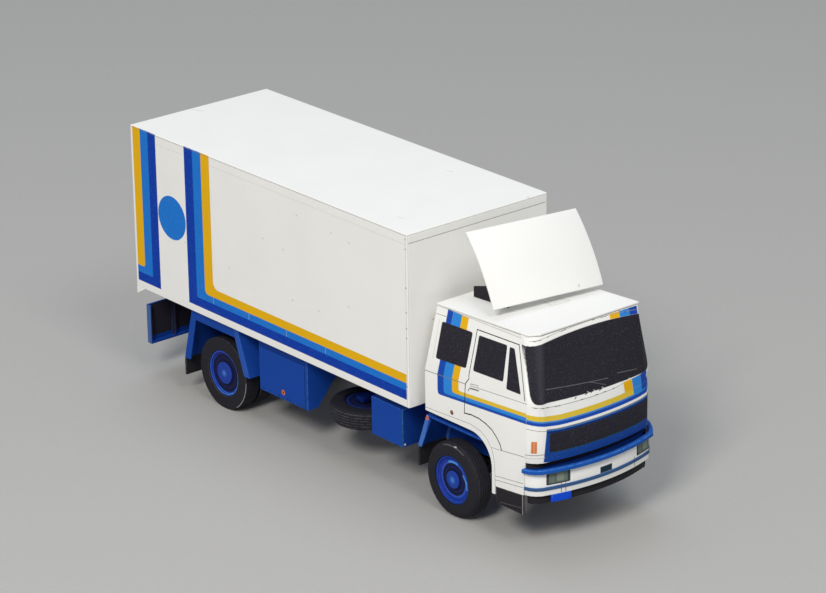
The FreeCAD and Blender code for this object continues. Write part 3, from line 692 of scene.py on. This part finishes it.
def small_box_print():
    """The small box: a teal line down its front corner, painted shade over its front face, and one pale
    dot.
    """
    surface = new_surface("printed small box card")
    low, high = [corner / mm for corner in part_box("small_box_right")]
    side = side_sheet(surface, frame_blue)
    side.lines([(low.y + 0.1, low.z), (low.y + 0.1, high.z)], teal, 0.16)
    front = end_sheet(surface, side.colour, -1)
    # Painted shade: the front face darkened, as it is turned from the light.
    front.block((-far, -far), (far, far), shade_blue, share=0.45)
    for x in (low.x + 0.35, -low.x - 0.35):
        front.disc((x, low.z + 0.4), 0.14, paper_white)
    return finish_card(surface, front.colour, raw_paper_and_highlight_blue)


locker_card = locker_print()
small_box_card = small_box_print()
for side in ("right", "left"):
    card_piece("locker_" + side, locker_card)
    card_piece("small_box_" + side, small_box_card)


# Mudguards and front wings: strips of thin blue card folded over the wheels, a lip glued on their
# outer edges, and flaps of black card behind the wheels.

def wing_print():
    """The wing: a painted highlight on its rear lip, and a small lamp."""
    surface = new_surface("printed wing card")
    side = side_sheet(surface, frame_blue)
    # Painted highlight: the rear lip lightened where it catches the light.
    side.area([(-20.4, 13.3), (-18.9, 13.5), (-17.5, 8.0), (-18.8, 8.0)], raw_paper_and_highlight_blue, share=0.55)
    side.disc((-19.95, 12.95), 0.36, lamp_orange)
    return finish_card(surface, side.colour, raw_paper_and_highlight_blue, wear=0.25, mottle=0.4)


def guard_print():
    """The rear mudguard: a faint painted highlight over its front lip."""
    surface = new_surface("printed mudguard card")
    side = side_sheet(surface, frame_blue)
    low, high = [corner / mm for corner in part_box("rear_mudguard_right")]
    # Painted highlight: the front lip lightened a little where it catches the light.
    side.area([(low.y - 0.2, low.z - 0.2), (low.y + 1.9, low.z - 0.2), (low.y + 3.4, high.z),
               (low.y + 1.6, high.z)], raw_paper_and_highlight_blue, share=0.18)
    return finish_card(surface, side.colour, raw_paper_and_highlight_blue, wear=0.15, mottle=0.4)


wing_card = wing_print()
guard_card = guard_print()
for side in ("right", "left"):
    card_piece("rear_mudguard_" + side, guard_card)
    card_piece("front_wing_" + side, wing_card)
    card_piece("rear_flap_" + side, black_card)
    card_piece("front_flap_" + side, black_card)


# The rear bumper: a shallow tray of blue card at the frame's tail, open to the front, with two ribs.
# It is printed black inside, and its ends show a paler cut edge.

tray_edge = ink(92, 118, 148)


def tray_print():
    """The tray: dark inside and over its ribs, painted shade on the faces that look into it, and a pale cut
    edge at its ends.
    """
    surface = new_surface("printed rear tray card")
    low, high = [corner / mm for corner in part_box("rear_bumper")]
    ends = facing_sheet(surface, "X", "Z", frame_blue, "X")
    ends.block((low.x + 0.2, -far), (-low.x - 0.2, far), window_black)
    ends.block((-far, -far), (low.x + 0.2, far), tray_edge, share=0.6)
    ends.block((-low.x - 0.2, -far), (far, far), tray_edge, share=0.6)
    inside = end_sheet(surface, ends.colour, -1)
    # Painted shade: the faces that look forward into the open tray are darkened.
    inside.block((-far, -far), (far, far), shade_blue, share=0.4)
    inside.block((low.x + 0.12, low.z + 0.95), (-low.x - 0.12, high.z - 0.1), window_black)
    return finish_card(surface, inside.colour, frame_blue, wear=0.3, mottle=0.4)


card_piece("rear_bumper", tray_print())


# The tyres: discs of black card glued in a stack. The front and spare ones are rubbed round at the
# edges, where the layers show as fine lines; the rear twins are left sharp.

tyre_black = ink(40, 40, 46)
layer_thickness = 0.4
layer_groove = 0.035
layer_groove_half = 0.06
shoulder = 0.75
rubbed_edge = 0.12
spin_steps = 96
narrow_face = 0.05
groove_margin = 0.5
groove_wear = 0.6
raw_arc = ink(176, 176, 176)


def layered_tyre(node, along, material, body="truck"):
    """A ring of card discs in a stack along an axis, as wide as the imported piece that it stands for."""
    low, high = [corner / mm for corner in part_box(node)]
    centre = (low + high) / 2
    half = (high[along] - low[along]) / 2
    radius = (high.y - low.y) / 2
    rim_low, rim_high = [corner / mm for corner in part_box(node.replace("tyre", "rim"))]
    hole = (rim_high.y - rim_low.y) / 2

    def tread(offset):
        into = max(0.0, (abs(offset) - (half - shoulder)) / shoulder)
        return radius - shoulder * (1 - math.sqrt(max(0.0, 1 - into * into)))

    layers = round(2 * half / layer_thickness)
    grooves = [(-half, 0), (-half + rubbed_edge, 0)]
    for step in range(1, layers):
        edge = -half + 2 * half * step / layers
        grooves += [(edge - layer_groove_half, 0), (edge, layer_groove), (edge + layer_groove_half, 0)]
    grooves += [(half - rubbed_edge, 0), (half, 0)]
    rubbed = [(offset, tread(offset) - depth) for offset, depth in grooves]
    profile = [(-half, hole), *rubbed, (half, hole)]

    axis = Vector((0, 0, 0))
    axis[along] = 1
    shape = bmesh.new()
    points = []
    for offset, out in profile:
        place = centre + axis * offset
        place.y += out
        points.append(shape.verts.new(place))
    lines = [shape.edges.new(pair) for pair in zip(points, points[1:] + points[:1])]
    bmesh.ops.spin(shape, geom=points + lines, cent=centre, axis=axis, dvec=(0, 0, 0),
                   angle=2 * math.pi, steps=spin_steps, use_merge=True)
    bmesh.ops.remove_doubles(shape, verts=shape.verts, dist=0.001)
    bmesh.ops.recalc_face_normals(shape, faces=shape.faces)
    marks = shape.faces.layers.float.new("fold")
    for face in shape.faces:
        out = face.calc_center_median() - centre
        out[along] = 0
        if out.length > hole + groove_margin and face.calc_area() < narrow_face:
            face[marks] = groove_wear
    bmesh.ops.scale(shape, vec=(mm, mm, mm), verts=shape.verts)
    return keep_piece(shape, node + "_stack", material, body, [node], rolled=True)


def axle_centre(node):
    """A wheel piece's middle, by length and height."""
    low, high = [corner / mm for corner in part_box(node)]
    middle = (low + high) / 2
    return middle.y, middle.z


def polar(centre, radius, turn):
    """A point at a radius and an angle in degrees from a centre."""
    turn = math.radians(turn)
    return centre[0] + radius * math.cos(turn), centre[1] + radius * math.sin(turn)


def arc(centre, radius, start, end, steps=6):
    """Points along a part of a circle, from one angle to another in degrees."""
    return [polar(centre, radius, start + (end - start) * step / steps) for step in range(steps + 1)]


def front_tyre_print():
    """The front tyre: black, rubbed a little along its rounded edge, a painted highlight on top, one pale
    nick.
    """
    surface = new_surface("front tyre card")
    side = side_sheet(surface, tyre_black)
    centre = axle_centre("front_tyre_right")
    # Painted highlight: a lighter arc along the top of the rounded edge.
    side.lines(arc(centre, 5.0, 70, 118), raw_paper_and_highlight_grey, 0.16, share=0.45, soft=0.1)
    side.lines([(-25.5, 10.42), (-25.8, 10.46)], raw_arc, 0.2, share=0.9)
    return finish_card(surface, side.colour, raw_paper_and_highlight_grey, wear=0.25, mottle=0.3)


def twin_print():
    """The rear tyre: black, with the paper showing along a part of its cut edge."""
    surface = new_surface("rear tyre card")
    side = side_sheet(surface, tyre_black)
    low, high = [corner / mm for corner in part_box("rear_tyres_right")]
    edge = arc(axle_centre("rear_tyres_right"), (high.y - low.y) / 2 - 0.06, 180, 236, steps=7)
    tree = surface.tree
    offset = calculate(tree, "ABSOLUTE", parts_of(tree, surface.place)["X"])
    outer_disc = remap(tree, offset, -low.x - 0.9, -low.x - 0.6)
    side.within = times(tree, side.within, outer_disc)
    side.lines(edge, raw_arc, 0.1, share=0.75)
    return finish_card(surface, side.colour, raw_paper_and_highlight_grey, wear=0.3, mottle=0.3)


tyre_card = front_tyre_print()
twin_card = twin_print()
layered_tyre("spare_tyre", 2, plain_card("spare tyre card", tyre_black, raw_paper_and_highlight_grey, wear=0.7, mottle=0.3))
for side in ("right", "left"):
    layered_tyre("front_tyre_" + side, 0, tyre_card, "wheel_front_" + side)
    card_piece("rear_tyres_" + side, twin_card, body="wheel_rear_" + side)


# The rims and hub caps: discs of card, glued into the tyres and onto the rims. They are printed in
# rings of light and dark blue.

rim_blue = ink(27, 58, 152)
rim_navy = ink(27, 28, 56)
rim_light = ink(84, 150, 220)
rim_shine = ink(62, 98, 194)
rim_violet = ink(58, 50, 150)
hub_blue = ink(36, 66, 156)


def front_rim_print():
    """The front rim: a blue band around a dark disc, and light caught at the band's inner edge."""
    surface = new_surface("printed front rim card")
    disc = side_sheet(surface, rim_blue)
    centre = axle_centre("front_rim_right")
    disc.lines(arc(centre, 2.9, -62, 60), rim_violet, 0.5, share=0.4)
    disc.disc(centre, 2.27, rim_navy)
    disc.ring(centre, 2.45, 0.3, rim_shine, share=0.55)
    disc.ring(centre, 1.75, 0.14, rim_blue, share=0.35)
    disc.lines(arc(centre, 2.5, 66, 106), rim_light, 0.3, share=0.85)
    disc.lines([polar(centre, 2.2, 150), polar(centre, 2.5, 172), polar(centre, 2.7, 194)], rim_light, 0.32,
               share=0.75)
    return finish_card(surface, disc.colour, rim_shine, wear=0.4, mottle=0.5)


def rear_rim_print():
    """The rear rim: a thin light ring with a painted highlight low down, around a wide dark one."""
    surface = new_surface("printed rear rim card")
    disc = side_sheet(surface, rim_blue)
    centre = axle_centre("rear_rim_right")
    disc.disc(centre, 2.88, rim_navy)
    disc.ring(centre, 3.2, 0.2, rim_shine, share=0.8)
    # Painted highlight: the edge ring lighter along its lower part.
    disc.lines(arc(centre, 3.2, 170, 300), rim_light, 0.2, share=0.7)
    disc.lines(arc(centre, 2.95, 30, 140), rim_violet, 0.22, share=0.6)
    disc.ring(centre, 2.3, 0.1, rim_blue, share=0.35)
    return finish_card(surface, disc.colour, rim_shine, wear=0.4, mottle=0.5)


def hub_print(node, name):
    """A hub cap: a small disc that lightens towards its middle."""
    surface = new_surface(name)
    disc = side_sheet(surface, hub_blue)
    centre = axle_centre(node)
    disc.disc(centre, 0.62, rim_shine, share=0.5)
    disc.disc(centre, 0.35, rim_light, share=0.5)
    return finish_card(surface, disc.colour, rim_shine, wear=0.2, mottle=0.6)


def spare_rim_print():
    """The spare wheel's rim, seen from above: painted dark for the shade under the box, with two thin
    rings.
    """
    surface = new_surface("printed spare rim card")
    # Painted shade: the whole rim is navy for the shade under the box.
    disc = top_sheet(surface, rim_navy)
    low, high = [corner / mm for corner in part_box("spare_rim")]
    middle = (low + high) / 2
    disc.ring((middle.x, middle.y), 2.9, 0.25, rim_blue, share=0.8)
    disc.ring((middle.x, middle.y), 2.1, 0.12, rim_blue, share=0.6)
    return finish_card(surface, disc.colour, rim_blue, wear=0.3, mottle=0.4)


front_rim_card = front_rim_print()
rear_rim_card = rear_rim_print()
front_hub_card = hub_print("front_hub_cap_right", "printed front hub card")
rear_hub_card = hub_print("rear_hub_cap_right", "printed rear hub card")
spare_rim_card = spare_rim_print()
for side in ("right", "left"):
    card_piece("front_rim_" + side, front_rim_card, body="wheel_front_" + side)
    card_piece("front_hub_cap_" + side, front_hub_card, body="wheel_front_" + side)
    card_piece("rear_rim_" + side, rear_rim_card, body="wheel_rear_" + side)
    card_piece("rear_hub_cap_" + side, rear_hub_card, body="wheel_rear_" + side)
card_piece("spare_rim", spare_rim_card)


# The cab's sides: each is one sheet of white card, folded at the belt, where the cab starts to lean
# inwards. The windows, the door, its handle and the stripes are printed on it.

cab_dark_blue = ink(24, 74, 172)
cab_mid_blue = ink(46, 134, 216)
thin_yellow = ink(222, 192, 62)
door_black = ink(34, 33, 36)
seam_grey = ink(150, 147, 140)


def cab_side_print():
    """A side's print: windows, door lines, a handle, a lamp, and stripes that turn down and forward."""
    surface = new_surface("printed cab side card")
    side = side_sheet(surface, paper_white)
    stripe_rise = 0.07
    nose_y = -45.0

    def corner_shape(y, z):
        """What lies in front of and above a stripe's outer corner."""
        return [(y, z), (nose_y, z + stripe_rise * (y - nose_y)), (nose_y, far), (y, far)]

    side.area(corner_shape(-22.62, 17.36), cab_dark_blue, rounding=0.5)
    side.area(corner_shape(-23.85, 17.85), cab_mid_blue, rounding=0.5)
    side.area(corner_shape(-25.6, 18.5), stripe_yellow, rounding=0.4)
    side.area([(-27.1, 18.6), (nose_y, 18.6 + 17.9 * stripe_rise), (nose_y, 19.3 + 17.9 * stripe_rise),
               (-27.1, 19.3)], thin_yellow, share=0.75)
    side.area(corner_shape(-26.93, 19.16), paper_white, rounding=0.3)
    window_top_z = 27.0
    roof_stripe_top_z = 28.85
    side.block((-far, window_top_z), (far, far), paper_white)
    for rear_y, front_y, colour in ((-22.3, -23.45, cab_dark_blue), (-23.45, -25.25, cab_mid_blue),
                                    (-25.25, -26.64, stripe_yellow)):
        side.block((front_y, window_top_z), (rear_y, roof_stripe_top_z), colour)
    side.area([(-21.6, 27.0), (-27.9, 27.3), (-27.9, 22.5), (-21.7, 22.1)], window_black, rounding=0.3)
    side.area([(-29.2, 27.3), (-34.9, 27.6), (-35.35, 22.9), (-29.3, 22.6)], window_black, rounding=0.25)
    side.area([(-35.4, 27.56), (-36.4, 27.57), (-39.1, 22.3), (-36.2, 22.2)], window_black, rounding=0.2)

    side.lines([(-28.7, 21.9), (-28.65, 27.9), (-37.1, 28.3), (-40.05, 21.8)], door_black, 0.13)
    side.lines([(-28.7, 21.9), (-28.85, 21.4), (-28.39, 20.7), (-28.29, 20.35), (-28.06, 16.3)],
               door_black, 0.14)
    arch_run = [(-28.06, 16.3), (-29.5, 16.5), (-31.0, 16.45), (-32.4, 16.14), (-33.6, 15.64),
                (-34.5, 14.9), (-35.2, 14.1), (-35.5, 13.3)]
    side.lines(arch_run, door_black, 0.17)
    side.lines([(-35.5, 13.3), (-38.0, 13.6), (-40.6, 13.9)], door_black, 0.09, share=0.75)
    side.lines([(-33.5, 13.1), (-35.4, 13.27)], seam_grey, 0.07)
    lip_run = [(-19.9, 14.65), (-24.6, 14.88), (-29.1, 15.1), (-31.3, 14.76), (-32.7, 13.94),
               (-33.6, 12.81), (-34.1, 11.2), (-34.2, 7.7)]
    side.lines(lip_run, seam_grey, 0.09, share=0.85)
    for z in (8.66, 9.24):
        side.lines([(-34.2, z), (-39.7, z + 0.7)], seam_grey, 0.09)
    side.lines([(-19.9, 20.0), (-28.4, 20.55)], line_grey, 0.1)
    side.lines([(-31.0, 20.74), (-35.0, 21.05), (-41.0, 21.5)], line_grey, 0.09, share=0.8)
    side.lines([(-20.0, 27.65), (-22.3, 27.8)], seam_grey, 0.08)
    side.lines([(-19.9, 28.75), (-37.4, 29.2)], seam_grey, 0.08, share=0.6)
    side.lines([(-21.0, 27.2), (-21.15, 22.0)], faint_grey, 0.08)

    side.lines([(-29.2, 20.22), (-30.95, 20.42)], door_black, 0.2, share=0.85)
    side.outline([(-29.4, 20.6), (-30.85, 20.75), (-30.85, 21.05), (-29.4, 20.9)], line_grey, 0.08)
    side.lines([(-29.0, 20.0), (-28.95, 19.8)], door_black, 0.14)
    side.disc((-25.5, 15.56), 0.33, ink(112, 62, 44))
    side.disc((-25.5, 15.62), 0.14, ink(170, 104, 74))
    return finish_card(surface, side.colour, paper_white, wear=0.45, mottle=0.3)


cab_side_card = cab_side_print()
for side in ("right", "left"):
    card_piece("cab_side_" + side, cab_side_card)


# The cab's front: one sheet rolled round both corners and folded at the belt. The print curves up
# a little at the corners. Windscreen, wipers, stripes, grille and side lamps are printed on it, with a
# painted reflection on the windscreen and a painted highlight just above the belt fold.

print_bow_start = 6.5
print_bow = 0.028
glass_arch = 0.0065
stripe_top_z = 19.35
grille_top_z = 17.57
pane_top_z, pane_foot_z = 17.02, 14.22
glass_top_z = 29.12
grey_dash = ink(132, 130, 126)
grille_blue = ink(24, 70, 152)


def raised_place(tree, place, start, rate):
    """The place on a print that climbs by rate times the square of the distance past a start."""
    parts = parts_of(tree, place)
    past = minus(tree, calculate(tree, "ABSOLUTE", parts["X"]), start)
    past = calculate(tree, "MAXIMUM", past, 0.0)
    climb = times(tree, times(tree, past, past), -rate)
    return joined(tree, parts["X"], parts["Y"], calculate(tree, "ADD", parts["Z"], climb))


def outside_of_roll(tree, place):
    """1 on the outside of a sheet that is rolled round both front corners."""
    where = new_node(tree, "ShaderNodeTexCoord")
    normal = parts_of(tree, where.outputs["Normal"])
    outward = calculate(tree, "SIGN", parts_of(tree, place)["X"])
    facing = minus(tree, times(tree, outward, normal["X"]), normal["Y"])
    return remap(tree, facing, 0.3, 0.5)


def rolled_sheet(surface, colour):
    """The outside of a rolled sheet, by width and height."""
    flat = flat_place(surface.tree, surface.place, "X", "Z")
    return Sheet(surface.tree, flat, colour, outside_of_roll(surface.tree, surface.place))


roof_stripes_x = (4.1, 5.8, 7.5, 8.9)
belt_stripes_x = (4.3, 6.0, 7.8, 9.4)


def upright_stripes(face, edges_x, low_z, high_z):
    """The three stripes side by side, between their edges."""
    inks = (stripe_yellow, cab_mid_blue, cab_dark_blue)
    for low_x, high_x, colour in zip(edges_x, edges_x[1:], inks):
        face.block((low_x, low_z), (high_x, high_z), colour)


def cab_front_print():
    """The front's print, from the roof edge down to the grille, each row at its own curve."""
    surface = new_surface("printed cab front card")
    tree, place = surface.tree, surface.place
    face = rolled_sheet(surface, paper_white)
    level = face.flat
    bowed = flat_place(tree, raised_place(tree, place, print_bow_start, print_bow), "X", "Z")
    arched = flat_place(tree, raised_place(tree, place, 0.0, -glass_arch), "X", "Z")

    upright_stripes(face, roof_stripes_x, 27.0, far)
    face.area([(-11.05, 21.27), (11.1, 20.73), (9.3, 30.2), (-9.3, 30.2)], window_black, rounding=1.1)
    # Painted reflection: a soft lighter streak on the windscreen where the sheet rolls round its corner.
    face.lines([(-9.5, 21.8), (-8.3, 28.6)], ink(82, 80, 86), 0.9, share=0.4, soft=1.0)
    face.flat = arched
    face.block((-far, glass_top_z), (far, far), paper_white)
    upright_stripes(face, roof_stripes_x, glass_top_z, far)
    face.lines([(-9.2, 29.72), (-3.2, 29.66), (3.8, 29.7), (8.9, 29.7)], seam_grey, 0.08, share=0.8)
    for x in (-8.9, -8.3, -6.9, -4.4, -3.9, 1.1, 2.6, 3.2, 6.6):
        face.lines([(x, 29.64), (x + 0.35, 29.66)], door_black, 0.1, share=0.65)

    face.flat = bowed
    upright_stripes(face, belt_stripes_x, 18.8, 20.72)
    face.block((-far, 18.62), (far, stripe_top_z), thin_yellow)
    face.block((6.0, 18.4), (far, stripe_top_z), cab_mid_blue)
    face.block((7.8, 18.3), (far, stripe_top_z), cab_dark_blue)
    face.block((-far, 18.42), (far, 18.64), cab_mid_blue)
    face.block((-far, 17.97), (far, 18.44), cab_dark_blue)
    face.lines([(-10.9, 20.56), (-9.4, 20.5), (-7.4, 20.52), (-2.0, 20.42), (2.4, 20.45), (4.2, 20.6)],
               grey_dash, 0.1, share=0.75)
    for x in (-10.7, -9.7, -8.9, -7.6, -7.1, -3.4, -0.9, 0.6, 2.2):
        face.lines([(x, 20.5), (x + 0.3, 20.47)], door_black, 0.12, share=0.7)
    # Painted highlight: the strip of sheet just above the belt fold, made lighter where it faces the light.
    face.block((-far, 20.55), (3.9, 20.95), ink(250, 250, 248), share=0.5)

    grille_half = 9.15
    far_grille_half = 10.2
    face.area([(-grille_half - 0.45, 12.9), (far_grille_half + 0.45, 12.9), (far_grille_half, grille_top_z),
               (-grille_half, grille_top_z)], grille_blue, rounding=0.1)
    face.block((-grille_half, 17.42), (far_grille_half, grille_top_z), line_grey)
    face.block((-grille_half, 17.27), (far_grille_half, 17.42), cab_mid_blue, share=0.6)
    face.block((-grille_half, 17.04), (far_grille_half, 17.27), shade_blue)
    face.block((-8.7, pane_foot_z), (9.6, pane_top_z), window_black, rounding=0.3)
    for x in (-5.14, -1.75, 1.7, 5.1):
        face.lines([(x, pane_foot_z), (x, pane_top_z)], ink(16, 52, 84), 0.14, share=0.6)
    face.lines([(-8.5, 14.25), (8.5, 14.25)], teal, 0.1, share=0.7)
    face.lines([(-11.3, 17.3), (-grille_half, 17.33)], line_grey, 0.09, share=0.8)
    face.lines([(far_grille_half, 17.33), (11.3, 17.3)], line_grey, 0.09, share=0.8)

    face.flat = level
    for side in (-1, 1):
        face.block((min(side * 10.92, side * 10.38), 14.5), (max(side * 10.92, side * 10.38), 16.2),
                   ink(208, 118, 60), rounding=0.08)
        face.lines([(side * 10.65, 14.65), (side * 10.65, 16.05)], ink(226, 156, 112), 0.2, share=0.7)
        face.lines([(side * 9.45, 14.28), (side * 11.3, 14.2)], line_grey, 0.12, share=0.8)
        face.lines([(side * 9.45, 13.8), (side * 11.3, 13.75)], faint_grey, 0.1)
    wiper_grey = ink(112, 110, 112)
    face.lines([(-8.5, 22.93), (-3.6, 22.5), (1.73, 22.0)], wiper_grey, 0.1, share=0.75)
    face.lines([(3.54, 22.18), (7.29, 21.66)], wiper_grey, 0.1, share=0.75)
    face.lines([(-1.3, 22.25), (1.1, 21.3)], wiper_grey, 0.1, share=0.6)
    for x, z, size in ((-4.4, 20.82, 0.25), (-2.6, 20.95, 0.45), (-1.6, 20.98, 0.3), (-0.2, 20.9, 0.6),
                       (4.9, 20.9, 0.4)):
        face.lines([(x, z), (x + size, z + 0.14)], door_black, 0.14, share=0.85)
    for x, z in ((-2.2, 21.22), (-1.1, 21.18), (0.4, 21.16), (5.5, 20.95)):
        face.lines([(x, z), (x + 0.22, z - 0.12)], paper_white, 0.1, share=0.6)
    return finish_card(surface, face.colour, paper_white, wear=0.35, mottle=0.3)


card_piece("cab_front", cab_front_print(), fold=0.06, turn=45, rolled=True)


# The cab's roof, back and floor: plain card. The roof has a hatch printed on it, and its folded
# front edge has cracked a little along the score.

def cab_roof_print():
    """The roof: a small hatch in thin lines."""
    surface = new_surface("printed cab roof card")
    roof = top_sheet(surface, paper_white)
    roof.outline([(0.8, -30.4), (3.2, -30.9), (3.4, -32.6), (0.4, -32.4)], seam_grey, 0.09, share=0.6)
    roof.lines([(0.6, -31.4), (3.3, -31.7)], faint_grey, 0.09, share=0.7)
    return finish_card(surface, roof.colour, paper_white, wear=0.45, mottle=0.3)


card_piece("cab_roof", cab_roof_print())
card_piece("cab_back", white_card)
card_piece("cab_floor", blue_card)


# The bumper: a black backing, a white face rolled round the corners, and coloured strips glued on it.
# Headlamps, the towing hatch and joint lines are printed on the face.

def bumper_face_print():
    """The face: two lamps, a hatch between them, joint lines, and its top edge painted over."""
    surface = new_surface("printed bumper card")
    face = rolled_sheet(surface, paper_white)
    lamp_dark, lamp_grey, lamp_light = ink(56, 66, 64), ink(104, 114, 106), ink(134, 142, 130)
    foot_z, top_z = 9.85, 11.62
    for low_x, high_x in ((-9.3, -5.88), (6.1, 9.5)):
        face.block((low_x, foot_z), (high_x, top_z), lamp_dark, rounding=0.15)
        face.block((low_x + 0.35, foot_z + 0.2), (high_x - 0.4, top_z - 0.15), lamp_grey, rounding=0.12)
        face.block((low_x + 1.5, foot_z + 0.35), (low_x + 2.45, top_z - 0.3), lamp_light, rounding=0.2,
                   share=0.8)
        face.lines([(low_x + 1.3, foot_z + 0.1), (low_x + 1.2, top_z - 0.1)], lamp_dark, 0.1, share=0.6)
    face.block((-1.07, 9.65), (1.03, 10.55), ink(30, 52, 62))
    for x in (-7.2, -6.55, 5.65):
        face.lines([(x, 8.55), (x, 9.9)], ink(70, 76, 92), 0.12, share=0.8)
    edge = top_sheet(surface, face.colour)
    edge.block((-far, -far), (far, far), shade_blue)
    return finish_card(surface, edge.colour, paper_white, wear=0.1, mottle=0.3)


rail_blue = ink(30, 86, 172)
strip_blue = ink(58, 88, 132)
plate_blue = ink(20, 74, 204)


def backing_print():
    """The backing: black, but blue behind the rail, where the rail's strip is folded back on it."""
    surface = new_surface("printed backing card")
    face = rolled_sheet(surface, soft_black)
    face.block((-far, 11.0), (far, 12.15), shade_blue)
    face.block((-far, 11.0), (far, 11.95), frame_blue, share=0.7)
    return finish_card(surface, face.colour, raw_paper_and_highlight_grey, wear=0.35, mottle=0.3)


card_piece("bumper_backing", backing_print(), rolled=True, turn=45)
card_piece("bumper_face", bumper_face_print(), fold=0.05, turn=45, rolled=True)
card_piece("bumper_rail", plain_card("rail card", rail_blue, raw_paper_and_highlight_blue, wear=0.7), turn=45,
           rolled=True)
card_piece("bumper_low_strip", plain_card("low strip card", strip_blue, raw_paper_and_highlight_blue, wear=0.5),
           fold=0.05, turn=45, rolled=True)
card_piece("front_spoiler", black_card, turn=45, rolled=True)
card_piece("plate_tab", plain_card("plate card", plate_blue, raw_paper_and_highlight_blue, wear=0.5), fold=0.05)


# The lower corners of the cab behind the bumper: small panels of black card, in front of the wheels.
# Their front edges are raw, and a thin scratch runs across them.

def valance_print():
    """The corner panel: a thin scratch, and bare paper along its front edge."""
    surface = new_surface("printed corner panel card")
    side = side_sheet(surface, soft_black)
    side.lines([(-35.2, 5.75), (-39.4, 6.35)], raw_paper_and_highlight_grey, 0.08, share=0.6)
    side.lines([(-39.62, 8.2), (-39.62, 5.4)], raw_arc, 0.12, share=0.7)
    return finish_card(surface, side.colour, raw_paper_and_highlight_grey, wear=0.5, mottle=0.3)


valance_card = valance_print()
for side in ("right", "left"):
    card_piece("cab_valance_" + side, valance_card)


# The roof deflector: a bowed sheet of plain white card on two brackets of black card. It is glued to
# the cab's roof a little askew.

card_piece("deflector", white_card, fold=0.06, turn=45, rolled=True)
card_piece("deflector_brackets", black_card)
